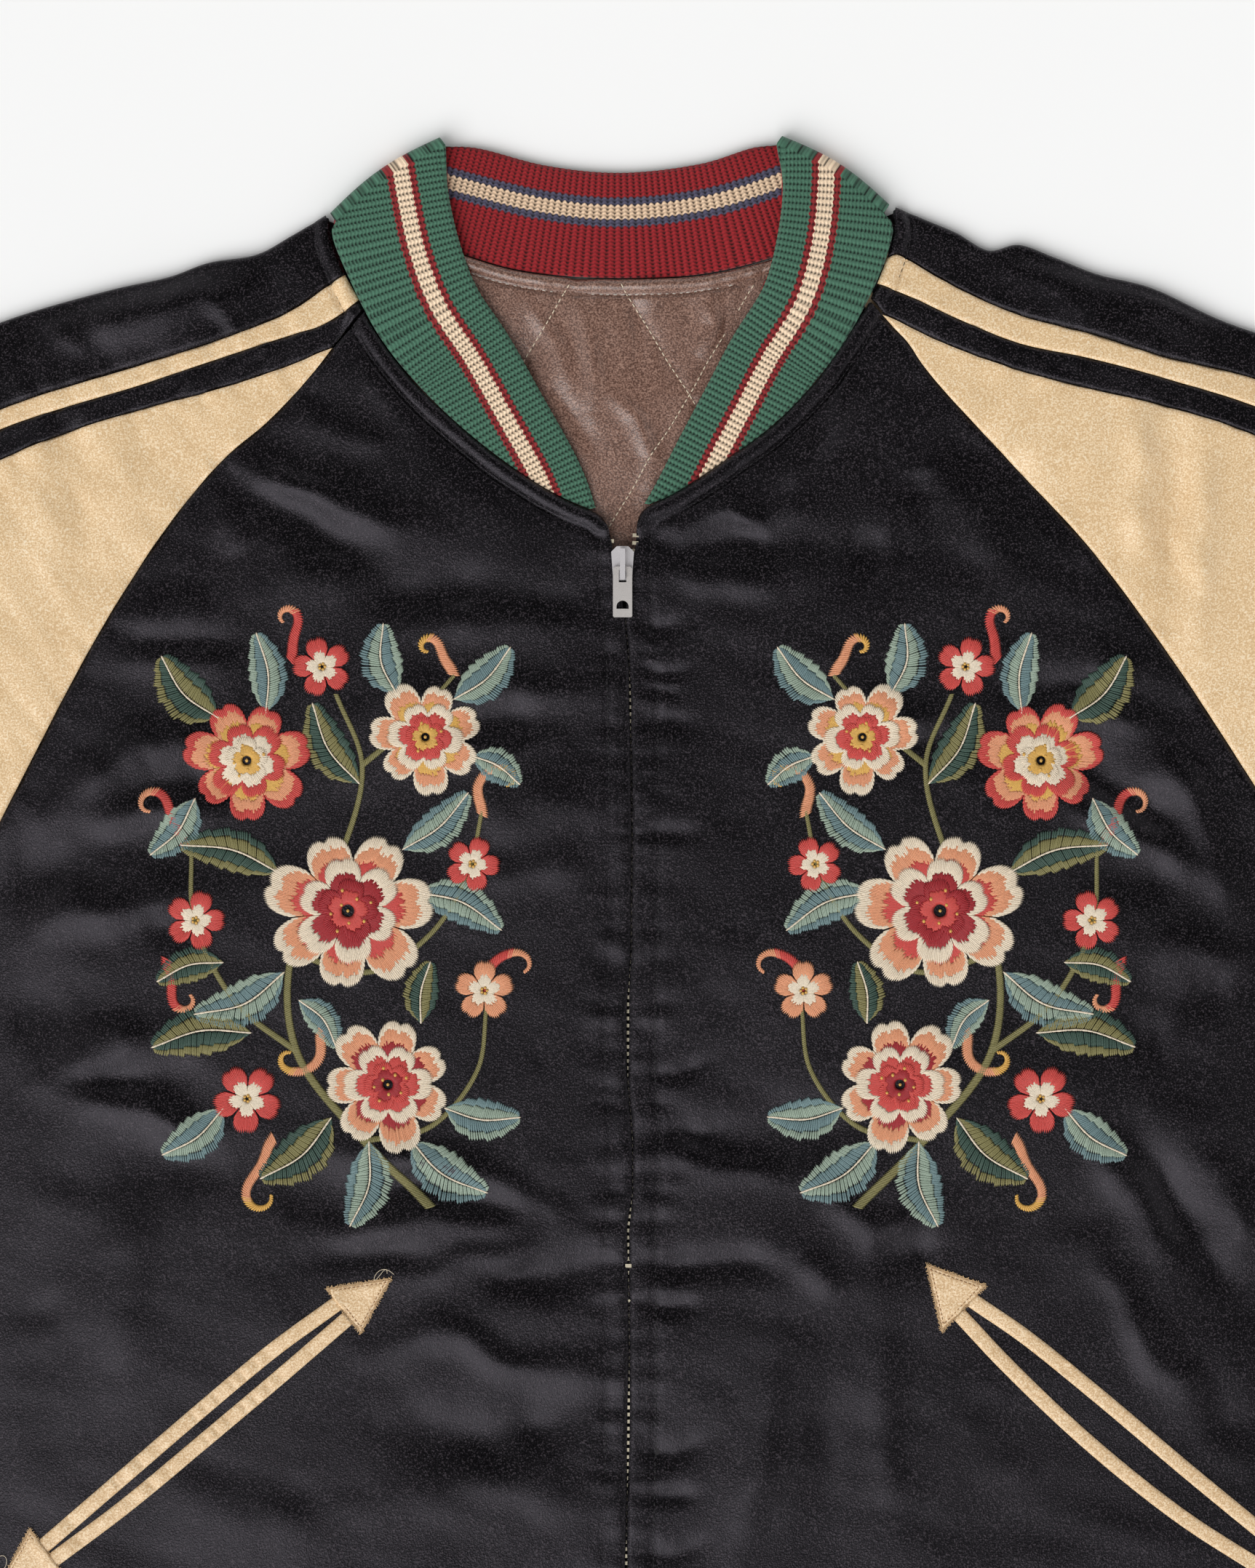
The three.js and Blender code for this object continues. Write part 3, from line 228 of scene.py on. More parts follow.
def near_line(x, y, line):
    """Distance from points to a line of segments, and how far along it they lie."""
    line = np.asarray(line, float)
    best = np.full(np.shape(x), np.inf)
    along = np.zeros(np.shape(x))
    start = 0.0
    for (ax, ay), (bx, by) in zip(line[:-1], line[1:]):
        run = np.hypot(bx - ax, by - ay)
        share = ((x - ax) * (bx - ax) + (y - ay) * (by - ay)) / run ** 2
        inside = np.clip(share, 0, 1)
        away = np.hypot(x - ax - inside * (bx - ax), y - ay - inside * (by - ay))
        closer = away < best
        best = np.where(closer, away, best)
        along = np.where(closer, start + inside * run, along)
        start += run
    return best, along

def collar_fold(side):
    """The collar's fold, moved in by the fold's radius, with its outward direction."""
    seam, free = (np.array(point) for point in COLLAR_FOLD[side])
    run = (free - seam) / np.linalg.norm(free - seam)
    out = np.array([-run[1], run[0]]) if side == "right" else np.array([run[1], -run[0]])
    return seam - out * OUTER_RIB_RADIUS, free - out * OUTER_RIB_RADIUS, out

BACK_NECK_ROWS = [collar_fold("right")[:2], *COLLAR_BACK, collar_fold("left")[:2]]
BACK_NECK_LINE = smooth([row[0] for row in BACK_NECK_ROWS], np.linspace(0, 1, 201))

def back_neck(x):
    """The y of the back neck seam at x."""
    return np.interp(x, BACK_NECK_LINE[:, 0], BACK_NECK_LINE[:, 1])

def below_neck(x):
    """The point just below the back neck seam at x."""
    return x, float(back_neck(x)) - NECK_GAP

print("back neck seam:", round(path_length(BACK_NECK_LINE)), "mm")

# %% Lines of the sleeves, from the neck to the cuff
SLEEVE_CURVES = {
    "right": {
        "shoulder": [
            (-129.2, 243.5), (-144.0, 234.7), (-158.3, 226.9), (-179.6, 223.2), (-195.8, 217.3),
            (-220.9, 211.7), (-267.4, 198.1), (-330, 171), (-390, 132), (-430, 92), (-490, 22), (-625, -135),
        ],
        "stripe_top": [
            (-121.4, 217.0), (-128.9, 212.2), (-143.7, 202.1), (-174.4, 189.7), (-205.7, 179.5),
            (-267.4, 160.0), (-326, 132),
            (-376, 96), (-410, 62), (-466, -2), (-603.4, -152),
        ],
        "stripe_low": [
            (-115.2, 206.0), (-118.8, 202.9), (-131.0, 195.4), (-143.4, 191.6), (-174.4, 181.4),
            (-205.7, 170.8), (-267.4, 151.3), (-322, 125),
            (-370, 90), (-403, 55), (-458, -8), (-596.6, -157.6),
        ],
        "band_end": [(-112.9, 202.4), (-119.9, 194.0)],
        "gold_top": [
            (-126.6, 185.8), (-132.0, 183.8), (-143.7, 178.9), (-174.4, 168.6), (-205.7, 160.3),
            (-236.1, 151.0), (-267.4, 138.3), (-317, 111),
            (-361, 77), (-393, 43), (-447, -18), (-587.8, -164.6),
        ],
        "front_raglan": [(-112.4, 201.6), (-119.4, 193.2)],
        "raglan": [
            (-126.5, 185.0), (-131.0, 178.9), (-151.1, 156.6), (-174.4, 136.1), (-200.4, 103.5),
            (-229.9, 55.8), (-258.4, 1.6),
            (-286, -52),
        ],
        "underarm": [(-286, -52), (-330, -84), (-430, -149), (-527, -213)],
        "back_stripe_top": [
            below_neck(-116.5), (-140, 223), (-165, 208), (-205, 191), (-267.4, 165.0), (-326, 137),
            (-376, 101), (-412, 65), (-468, 1), (-605, -150.5),
        ],
        "back_stripe_low": [
            below_neck(-106.8), (-132, 215), (-160, 199), (-205, 181), (-267.4, 155.0), (-320, 128),
            (-369, 93), (-404, 57), (-460, -7), (-597, -157.3),
        ],
        "back_gold_top": [
            below_neck(-97.6), (-122, 205), (-155, 184), (-205, 165), (-267.4, 140.0), (-315, 114),
            (-360, 79), (-393, 45), (-448, -17), (-588, -164.4),
        ],
        "back_raglan": [
            below_neck(-95.2), (-120, 196), (-160, 146), (-200.4, 100), (-229.9, 54), (-258.4, 1.6),
            (-286, -52),
        ],
    },
    "left": {
        "shoulder": [
            (114.8, 247.0), (128.8, 241.2), (141, 236), (154.8, 228.5), (167.2, 231.0), (182.4, 225.7),
            (200.4, 218.6), (223.7, 212.7), (254.0, 198.7), (330, 172), (392, 134), (432, 92), (492, 22),
            (625, -135),
        ],
        "stripe_top": [
            (112.0, 225.2), (114.6, 226.1), (117.6, 225.2), (122.8, 222.4), (135.6, 214.8), (166.3, 200.6),
            (197.6, 192.2), (228.6, 182.6), (267.4, 173.3),
            (326, 148), (378, 110), (413, 64), (468, -2), (603.4, -152),
        ],
        "stripe_low": [
            (107.4, 213.2), (123.2, 206.8), (135.6, 200.8), (166.3, 188.2), (197.6, 181.4), (228.6, 173.3),
            (267.4, 161.2),
            (322, 137), (370, 100), (405, 56), (459, -9), (596.6, -157.6),
        ],
        "band_end": [(104.4, 206.6), (107.2, 203.2)],
        "gold_top": [
            (109.6, 200.2), (117.0, 196.8), (123.4, 193.6), (135.6, 187.9), (166.3, 176.7), (197.6, 168.6),
            (228.6, 161.5), (267.4, 148.8), (317, 122),
            (361, 88), (394, 44), (447, -19), (587.8, -164.6),
        ],
        "front_raglan": [(103.9, 205.8), (106.7, 202.4)],
        "raglan": [
            (109.4, 199.4), (113.9, 194.1), (119.4, 188.4), (125.4, 179.2), (135.6, 166.8), (166.3, 133.9),
            (196.7, 100.8), (229.9, 56.1), (260.2, 10.5),
            (298, -50),
        ],
        "underarm": [(298, -50), (340, -84), (435, -150), (527, -213)],
        "back_stripe_top": [
            below_neck(101.6), (126, 226), (160, 212), (205, 194), (267.4, 172.0), (326, 146), (378, 108),
            (414, 66), (470, 1), (605, -150.5),
        ],
        "back_stripe_low": [
            below_neck(92.0), (120, 216), (156, 202), (205, 184), (267.4, 162.0), (321, 138), (371, 99),
            (406, 58), (461, -8), (597, -157.3),
        ],
        "back_gold_top": [
            below_neck(82.6), (112, 205), (150, 187), (205, 168), (267.4, 147.0), (316, 121), (361, 87),
            (394, 45), (449, -18), (588, -164.4),
        ],
        "back_raglan": [
            below_neck(80.2), (112, 192), (155, 146), (196.7, 98), (229.9, 54), (260.2, 8), (298, -50),
        ],
    },
}
ARMPIT_SHARE = 0.47  # how far along a sleeve's upper seams the armpit lies

# %% [markdown]
# ## The lie of the cloth
# Cloth on a table is low at its edges, full where layers lie over each other, and creased where
# it was folded or pulled. Simulating a whole jacket gives folds in places that nobody chose, so
# every crease here is listed one by one: a soft ridge, or a trough where its height is below zero.
# Finer, uneven ripples come from a smooth random field.

# %% Creases as line, half width and height
CREASE_GAIN = 1.35
CREASES = [
    ([(-171, 139), (-143, 126), (-112, 117), (-84, 105)], 8, 2.2),
    ([(-162, 126), (-134, 111), (-106, 95)], 8, -1.9),
    ([(-150, 156), (-112, 147), (-94, 145)], 7, 1),
    ([(-112, 179), (-84, 148)], 7, 1),
    ([(-119, 198), (-81, 151), (-50, 123), (-19, 111)], 8, -0.8),
    ([(-173, 117), (-164, 99)], 8, 1),
    ([(-156, 86), (-112, 85)], 14, 1.2),
    ([(-221, 71), (-174, 75)], 8, 1.4),
    ([(-224, 54), (-159, 49)], 8, 1.3),
    ([(-218, 61), (-165, 61)], 7, -0.8),
    ([(-112, 68), (-57, 68), (-1, 71)], 9, 1.3),
    ([(-112, 82), (-50, 83)], 9, -1.2),
    ([(-44, 78), (-13, 77)], 8, -1),
    ([(-119, 27), (-94, 35), (-50, 41), (-1, 37)], 8, 1.3),
    ([(-94, 15), (-32, 18)], 8, 1),
    ([(-78, 27), (-32, 27)], 7, -1),
    ([(-249, -16), (-205, 20), (-162, 10)], 9, 2.1),
    ([(-246, -19), (-205, -12), (-162, -5)], 8, 1.8),
    ([(-193, 1), (-162, -1)], 8, -1.5),
    ([(-267, -36), (-236, -36)], 12, -1.5),
    ([(-258, -69), (-243, -56), (-205, -53), (-177, -47)], 9, 2),
    ([(-208, -61), (-181, -60)], 8, -1),
    ([(-75, -10), (2, -7)], 12, 1.2),
    ([(-69, -41), (-10, -32)], 9, 1),
    ([(-249, -125), (-227, -112), (-196, -106)], 8, 2),
    ([(-246, -131), (-205, -139), (-184, -149), (-171, -148)], 8, 2),
    ([(-233, -125), (-196, -125), (-174, -134)], 8, -1.4),
    ([(-267, -97), (-236, -97)], 14, -1.2),
    ([(-236, -166), (-165, -163)], 12, -1.5),
    ([(-153, -174), (-112, -174)], 14, -1.2),
    ([(-125, -156), (-94, -159), (-57, -168), (-32, -180)], 7, 1.7),
    ([(-112, -170), (-75, -174), (-38, -185)], 7, -1.8),
    ([(-137, -193), (-94, -187), (-32, -184)], 7, 1.4),
    ([(-137, -200), (-81, -198)], 6, -1.1),
    ([(-94, -208), (-50, -202), (-32, -190)], 7, 1.4),
    ([(-69, -209), (-35, -211), (2, -205)], 8, -2.3),
    ([(-112, -242), (-81, -233), (-50, -249), (-1, -252)], 8, 1.7),
    ([(-106, -270), (-60, -277), (-13, -266)], 12, -2.3),
    ([(-100, -304), (-57, -298), (-10, -308)], 11, 1.2),
    ([(-216, -177), (-213, -218), (-216, -255)], 12, 1.6),
    ([(-252, -211), (-252, -261)], 14, -1.2),
    ([(-205, -298), (-156, -314), (-119, -332)], 13, 1),
    ([(102, 179), (86, 151), (74, 136), (67, 117)], 6, 1.7),
    ([(67, 117), (58, 109), (46, 117), (26, 106), (15, 113)], 6, 1.6),
    ([(13, 102), (43, 103), (74, 104)], 8, -1.5),
    ([(89, 99), (111, 99)], 9, -1.4),
    ([(12, 86), (43, 89), (74, 86)], 7, 1.4),
    ([(126, 136), (126, 117)], 8, -1),
    ([(142, 148), (164, 131), (182, 117)], 8, -1.1),
    ([(117, 142), (145, 117), (167, 89)], 9, 1),
    ([(160, 40), (216, 40)], 10, -1.5),
    ([(198, 47), (216, 47)], 9, 1.3),
    ([(170, 32), (198, 30), (229, 24)], 7, 1.8),
    ([(179, 21), (216, -7), (241, -25)], 9, -2.7),
    ([(216, 18), (235, 2), (247, -22), (260, -53)], 8, 2.1),
    ([(182, -7), (213, -16), (253, -44)], 8, 1.9),
    ([(198, -39), (241, -41)], 9, -1.4),
    ([(98, 37), (136, 21)], 8, 1.2),
    ([(111, 19), (142, 19)], 7, -1),
    ([(216, -72), (267, -72)], 9, 1.6),
    ([(235, -91), (260, -91)], 10, -1.4),
    ([(210, -109), (235, -109)], 10, -1.2),
    ([(5, -147), (55, -149), (105, -147)], 13, -1.5),
    ([(5, -159), (46, -165), (74, -165)], 7, 1.5),
    ([(77, -171), (105, -190), (133, -187)], 7, 1.5),
    ([(102, -201), (136, -201)], 9, -1.4),
    ([(74, -199), (89, -221)], 7, 1.2),
    ([(4, -206), (36, -204), (67, -208)], 6, -2),
    ([(71, -239), (58, -270), (46, -334)], 8, 1.6),
    ([(111, -230), (108, -270), (114, -311)], 8, 1.2),
    ([(89, -249), (83, -286), (80, -323)], 9, -1.1),
    ([(195, -143), (216, -177), (229, -208)], 8, 1.9),
    ([(216, -146), (247, -199), (267, -224)], 9, -2.3),
    ([(198, -196), (213, -221), (229, -249), (267, -286)], 8, 2),
    ([(235, -252), (267, -283)], 8, -1.6),
    ([(241, -149), (260, -180), (278, -205)], 9, 1.4),
    ([(2, 68), (13, 67), (26, 70)], 3.5, -0.9),
    ([(2, 49), (15, 48), (27, 51)], 3.5, -0.9),
    ([(2, 39), (12, 40), (21, 37)], 3, -0.7),
    ([(2, 27), (13, 27), (29, 24)], 3.5, -0.9),
    ([(2, -20), (15, -19), (30, -22)], 4, -0.9),
    ([(3, -122), (18, -123), (35, -119)], 4, -1.3),
    ([(3, -149), (18, -151), (36, -148)], 4.5, -1.1),
    ([(4, -166), (15, -162), (30, -166)], 4, -1.1),
    ([(4, -221), (16, -223), (33, -219)], 4.5, -1.2),
    ([(4, -283), (18, -285), (38, -280)], 4.5, -1.1),
    ([(4, -304), (16, -306), (33, -302)], 4, -1),
    ([(4, -326), (18, -328), (35, -324)], 4, -1),
    ([(-251, 200), (-230, 185)], 3.5, 0.8),
    ([(-187, 219), (-166, 191)], 3.5, 0.8),
    ([(195, 219), (195, 197)], 7, 0.8),
    ([(-261, 194), (-224, 199), (-187, 208), (-143, 219)], 9, 3.4),
    ([(-174, 227), (-137, 234)], 8, 2.4),
    ([(145, 232), (173, 221), (198, 213)], 9, 3.2),
    ([(216, 209), (260, 194)], 8, 2.8),
    ([(167, 235), (170, 216)], 6, -1.5),
    ([(222, 167), (218, 130), (216, 89)], 6, 2.4),
    ([(246, 148), (244, 102), (241, 55)], 7, 2.6),
    ([(234, 161), (232, 117), (230, 71)], 6, -2.4),
    ([(-230, 161), (-218, 136), (-212, 108)], 8, 1),
    ([(-255, 161), (-249, 123), (-246, 86)], 8, 1.1),
    ([(-239, 148), (-233, 117), (-230, 92)], 7, -0.9),
]
OUTLINE = [
    line
    for side in SIDES
    for line in (
        SLEEVE_CURVES[side]["shoulder"],
        SLEEVE_CURVES[side]["underarm"],
        [SLEEVE_CURVES[side]["underarm"][0], (SIDE_SEAM[side][1], HEM_SEAM_Y)],
    )
]
print("creases:", len(CREASES))

# %% Height of the front's outer face
def hills(x, y, pitch, seed, stretch=1.0, turn=0.0):
    """A smooth random field between about -1 and 1, with bumps about a pitch across."""
    lattice = np.random.default_rng(seed).uniform(-1, 1, (64, 64))
    c, s = cos(turn), sin(turn)
    u = (x * c + y * s) / (pitch * stretch)
    v = (y * c - x * s) / pitch
    i, j = np.floor(u).astype(int), np.floor(v).astype(int)
    fu, fv = u - i, v - j
    fu, fv = fu * fu * (3 - 2 * fu), fv * fv * (3 - 2 * fv)
    low = lattice[i % 64, j % 64] * (1 - fu) + lattice[(i + 1) % 64, j % 64] * fu
    high = lattice[i % 64, (j + 1) % 64] * (1 - fu) + lattice[(i + 1) % 64, (j + 1) % 64] * fu
    return low * (1 - fv) + high * fv

def crease_height(x, y):
    """All creases together, each fading towards its ends and a little uneven along its length."""
    total = np.zeros(np.shape(x))
    wobble_x = x + 2.5 * hills(x, y, 17, 11)
    wobble_y = y + 2.5 * hills(x, y, 17, 12)
    for number, (line, half, height) in enumerate(CREASES):
        reach = 3 * half
        xs, ys = [p[0] for p in line], [p[1] for p in line]
        near = (x > min(xs) - reach) & (x < max(xs) + reach) & (y > min(ys) - reach) & (y < max(ys) + reach)
        if not near.any():
            continue
        distance, along = near_line(wobble_x[near], wobble_y[near], line)
        length = path_length(line)
        ends = np.clip(np.minimum(along, length - along) / (0.35 * length), 0, 1)
        fade = 0.25 + 0.75 * ends * ends * (3 - 2 * ends)
        fade *= 1 + 0.25 * hills(along, number * 9.0 + 0 * along, 14, 13)
        total[near] += CREASE_GAIN * height * fade * np.exp(-(distance / half) ** 2)
    return total

def face_height(x, y):
    """The height of the jacket's front over the table, without what only one seam does to it."""
    x, y = np.asarray(x, float), np.asarray(y, float)
    edge = np.min([near_line(x, y, line)[0] for line in OUTLINE], axis=0)
    puff = PUFF * (1 - np.exp(-edge / PUFF_REACH))
    ripple = 0.85 * hills(x, y, 27, 21, 1.6, 0.35) + 0.26 * hills(x, y, 11, 22, 2.0, -0.3)
    calm = 1 - np.exp(-edge / 12)
    return EDGE_HEIGHT + puff + (crease_height(x, y) + ripple) * calm

probe = face_height(np.array([-60.0, 60.0]), np.array([0.0, 0.0]))
print("height beside the zip at the chest:", np.round(probe, 2))

# %% [markdown]
# ## Making a piece of cloth
# Each panel is a fine grid of points for the face that shows and a coarser one for the face that
# doesn't, joined round the rim, so it's a closed wall as thick as the cloth. A piece keeps its
# object at the origin and its place in its mesh.

# %% Meshes
NARROWEST_SHEET = 0.0102

def make_piece(name, points, faces, uv=None):
    """An object from points in millimetres and faces, turned outwards."""
    points = np.asarray(points, float).reshape(-1, 3)
    place = (points + (0, CHEST, 0)) / 1000
    faces = [tuple(int(k) for k in face) for face in faces]
    first = np.array([face[0] for face in faces])
    volume = 0.0
    for a, b in ((1, 2), (2, 3)):
        chosen = [k for k, face in enumerate(faces) if len(face) > b]
        second = np.array([faces[k][a] for k in chosen])
        third = np.array([faces[k][b] for k in chosen])
        cross = np.cross(points[second], points[third])
        volume += float((points[first[chosen]] * cross).sum())
    if volume < 0:
        faces = [face[::-1] for face in faces]
    name += "_cloth"
    mesh = bpy.data.meshes.new(name)
    mesh.from_pydata(place.tolist(), [], faces)
    mesh.shade_smooth()
    corner = np.zeros(len(mesh.loops), int)
    mesh.loops.foreach_get("vertex_index", corner)
    if uv is not None:
        layer = mesh.uv_layers.new(name="lay")
        layer.data.foreach_set("uv", np.asarray(uv, np.float32).reshape(-1, 2)[corner].ravel())
    return new_object(name, mesh)

def marks(count, stride):
    """Every stride-th index up to the last one."""
    chosen = list(range(0, count, stride))
    if chosen[-1] != count - 1:
        chosen.append(count - 1)
    return chosen

def rim(fine, coarse, chosen, turned):
    """Triangles between a fine edge and a coarse one that has only the chosen points."""
    faces = []
    for k in range(len(chosen) - 1):
        a, b = chosen[k], chosen[k + 1]
        middle = (a + b + 1) // 2
        for m in range(a, b):
            faces.append((fine[m + 1], fine[m], coarse[k] if m < middle else coarse[k + 1]))
        faces.append((fine[middle], coarse[k], coarse[k + 1]))
    return [face[::-1] for face in faces] if turned else faces

def shell(name, face, lining, stride=4, uv=None, ring=False):
    """A closed wall of cloth between the grid of its face and a coarser grid of its lining."""
    rows, columns = face.shape[:2]
    row_marks, column_marks = marks(rows + ring, stride), marks(columns, stride)
    chosen = np.ix_(row_marks[:-1] if ring else row_marks, column_marks)
    inner = lining[chosen]
    outer_at = np.arange(rows * columns).reshape(rows, columns)
    inner_at = rows * columns + np.arange(inner.shape[0] * inner.shape[1]).reshape(inner.shape[:2])
    if ring:
        outer_at = np.vstack([outer_at, outer_at[:1]])
        inner_at = np.vstack([inner_at, inner_at[:1]])
    a, b = outer_at[:-1, :-1].ravel(), outer_at[1:, :-1].ravel()
    c, d = outer_at[1:, 1:].ravel(), outer_at[:-1, 1:].ravel()
    faces = np.column_stack([a, b, c, d]).tolist()
    a, b = inner_at[:-1, :-1].ravel(), inner_at[:-1, 1:].ravel()
    c, d = inner_at[1:, 1:].ravel(), inner_at[1:, :-1].ravel()
    faces += np.column_stack([a, b, c, d]).tolist()
    faces += rim(outer_at[:, 0], inner_at[:, 0], row_marks, False)
    faces += rim(outer_at[:, -1], inner_at[:, -1], row_marks, True)
    if not ring:
        faces += rim(outer_at[0], inner_at[0], column_marks, True)
        faces += rim(outer_at[-1], inner_at[-1], column_marks, False)
    points = np.vstack([face.reshape(-1, 3), inner.reshape(-1, 3)])
    if uv is not None:
        uv = np.vstack([uv.reshape(-1, 2), uv[chosen].reshape(-1, 2)])
    return make_piece(name, points, faces, uv)

PIECES = []

def keep(piece):
    """Lists a piece of the jacket and parents it to the jacket's empty."""
    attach(piece, "jacket")
    PIECES.append(piece)
    return piece

def piece_area(piece):
    """The surface of a piece in square metres."""
    return sum(face.area for face in piece.data.polygons)

def finish_piece(piece, finish, slot, solid, flat, *carriers):
    """Gives a piece its finish, hides its solid and lists the piece; its cut size and area are worked out
    but not kept, and what it lies on is not used.
    """
    piece.data.materials.append(finish)
    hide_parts(solid)
    keep(piece)
    area = piece_area(piece) / 2
    width, length = flat
    width = max(width, area / length * 1.0005, NARROWEST_SHEET)
    return piece

def strip(upper, lower, count, gap=SEAM_GAP):
    """A grid of points between two seam lines, each row stopping short of both seams."""
    run = np.linalg.norm(lower - upper, axis=1)[:, None]
    inset = gap / run
    shares = inset + (1 - 2 * inset) * np.linspace(0, 1, count + 1)[None, :]
    return upper[:, None, :] + (lower - upper)[:, None, :] * shares[:, :, None]

def lift(plane, height):
    """Points of the plane with their heights."""
    return np.dstack([plane[..., 0], plane[..., 1], np.broadcast_to(height, plane.shape[:2])])

def lay_uv(plane):
    """A cloth's own map in metres, so that its weave follows the place it was cut from."""
    down = np.linalg.norm(np.diff(plane, axis=0), axis=2).mean(axis=1)
    across = np.linalg.norm(np.diff(plane, axis=1), axis=2)
    u = np.concatenate([np.zeros((len(plane), 1)), np.cumsum(across, axis=1)], axis=1)
    v = np.concatenate([[0], np.cumsum(down)])[:, None] + 0 * u
    return np.dstack([u, v]) / 1000

print("a panel is a wall", SATIN_WALL, "mm thick")

# %% [markdown]
# ## Finishes
# Satin is smooth long threads: dark cloth with a soft, directed shine that breaks up on fine
# wrinkles, and with glint specks painted into its colour. Ribs are matt knit, with painted shade
# in their valleys. A finish here is a shader with its own small pattern, read from the piece's
# map (in metres) or from its place, never a picture from a file.

# %% Colours and nodes
def tone(red, green, blue):
    """A colour from the numbers a screen shows, as the shader needs it."""
    values = np.array([red, green, blue]) / 255
    linear = np.where(values <= 0.04045, values / 12.92, ((values + 0.055) / 1.055) ** 2.4)
    return (*[float(value) for value in linear], 1.0)

def new_finish(name):
    """A material with one shader, ready to get its nodes."""
    finish = bpy.data.materials.new(name)
    finish.use_nodes = True
    tree = finish.node_tree
    tree.nodes.clear()
    output = tree.nodes.new("ShaderNodeOutputMaterial")
    shader = tree.nodes.new("ShaderNodeBsdfPrincipled")
    tree.links.new(shader.outputs[0], output.inputs[0])
    return finish, tree, shader

def feed(tree, socket, value):
    """Gives an input a number, a colour or another node's output."""
    if isinstance(value, bpy.types.NodeSocket):
        tree.links.new(value, socket)
    else:
        socket.default_value = value

def node(tree, kind, inputs=None, **settings):
    """A node with its settings and inputs."""
    made = tree.nodes.new(kind)
    for key, value in settings.items():
        setattr(made, key, value)
    for key, value in (inputs or {}).items():
        feed(tree, made.inputs[key], value)
    return made

def scaled(tree, vector, share):
    """A vector or colour times a number."""
    made = node(tree, "ShaderNodeVectorMath", {0: vector}, operation="SCALE")
    feed(tree, made.inputs["Scale"], share)
    return made.outputs[0]

def math(tree, operation, *values):
    """The result of one sum."""
    made = node(tree, "ShaderNodeMath", dict(enumerate(values)), operation=operation)
    return made.outputs[0]

def where_on(tree, source="Object", scale=(1, 1, 1), turn=0.0):
    """Coordinates for a pattern: the piece's place, or its own map, scaled and turned."""
    at = node(tree, "ShaderNodeTexCoord")
    mapping = node(tree, "ShaderNodeMapping", {
        "Vector": at.outputs[source],
        "Scale": scale,
        "Rotation": (0, 0, turn),
    })
    return mapping.outputs[0]

def noise(tree, vector, scale, detail=2.0, roughness=0.5):
    """Uneven grain."""
    made = node(tree, "ShaderNodeTexNoise", {
        "Vector": vector, "Scale": scale, "Detail": detail, "Roughness": roughness,
    })
    return made.outputs["Fac"]

def ramp(tree, value, stops, stepped=False):
    """A colour for each value, from stops of place and colour."""
    made = node(tree, "ShaderNodeValToRGB", {"Fac": value})
    band = made.color_ramp
    band.interpolation = "CONSTANT" if stepped else "LINEAR"
    while len(band.elements) < len(stops):
        band.elements.new(0.5)
    for element, (place, colour) in zip(band.elements, stops):
        element.position = place
        element.color = colour
    return made.outputs["Color"]

def blend(tree, share, first, second):
    """A mix of two colours."""
    made = node(tree, "ShaderNodeMix", data_type="RGBA")
    for number, value in ((0, share), (6, first), (7, second)):
        feed(tree, made.inputs[number], value)
    return made.outputs[2]

def bumps(tree, shader, *layers):
    """Small relief from several heights, each with its depth in metres."""
    normal = None
    for height, depth in layers:
        inputs = {"Height": height, "Distance": depth, "Strength": 1.0}
        if normal is not None:
            inputs["Normal"] = normal
        normal = node(tree, "ShaderNodeBump", inputs).outputs[0]
    tree.links.new(normal, shader.inputs["Normal"])

# %% Satin
def satin(name, deep, clear, painted_glint, roughness, specular, shine=(1, 1, 1, 1)):
    """Satin: two near tones in fine grain and a third, brighter tone that paints glints of light as specks,
    a soft shine, slanting threads and soft wrinkles.
    """
    finish, tree, shader = new_finish(name)
    still = where_on(tree)
    threads = noise(tree, where_on(tree, "Object", (1.0, 0.3, 1.0), 0.7), 2300, 2.0, 0.6)
    grain = noise(tree, still, 1300, 1.0, 0.6)
    cloudy = noise(tree, still, 24, 3.0)
    share = math(tree, "ADD", math(tree, "MULTIPLY", grain, 0.92), math(tree, "MULTIPLY", cloudy, 0.08))
    # The brightest stop is painted light: glint specks in the base colour, where the weave would catch the
    # lamp.
    colour = ramp(tree, share, [(0.4, deep), (0.54, clear), (0.68, painted_glint)])
    tree.links.new(colour, shader.inputs["Base Color"])
    rough = math(tree, "MULTIPLY_ADD", grain, 0.2, roughness - 0.1)
    tree.links.new(rough, shader.inputs["Roughness"])
    shader.inputs["Specular IOR Level"].default_value = specular
    shader.inputs["Specular Tint"].default_value = shine
    wrinkles = noise(tree, where_on(tree, "Object", (1.0, 0.7, 1.0), -0.5), 75, 2.5, 0.5)
    bumps(tree, shader, (wrinkles, 0.0003), (grain, 0.00016), (threads, 0.00012))
    return finish

# The third tone of each satin is its painted glint specks.
black_satin = satin(
    "black_satin", tone(0, 0, 0), tone(4, 4, 5), tone(58, 53, 57), 0.35, 0.28, shine=tone(246, 238, 252),
)
gold_satin = satin("gold_satin", tone(217, 182, 136), tone(237, 206, 162), tone(248, 228, 196), 0.36, 0.6)
welt_satin = satin("welt_satin", tone(208, 173, 129), tone(232, 201, 159), tone(246, 223, 189), 0.4, 0.5)
taupe_satin = satin("taupe_satin", tone(94, 67, 56), tone(133, 100, 86), tone(164, 130, 114), 0.3, 0.8)
print("finishes:", [m.name for m in bpy.data.materials if "satin" in m.name])

# %% Ribs
KNOT_PITCH = 0.0016

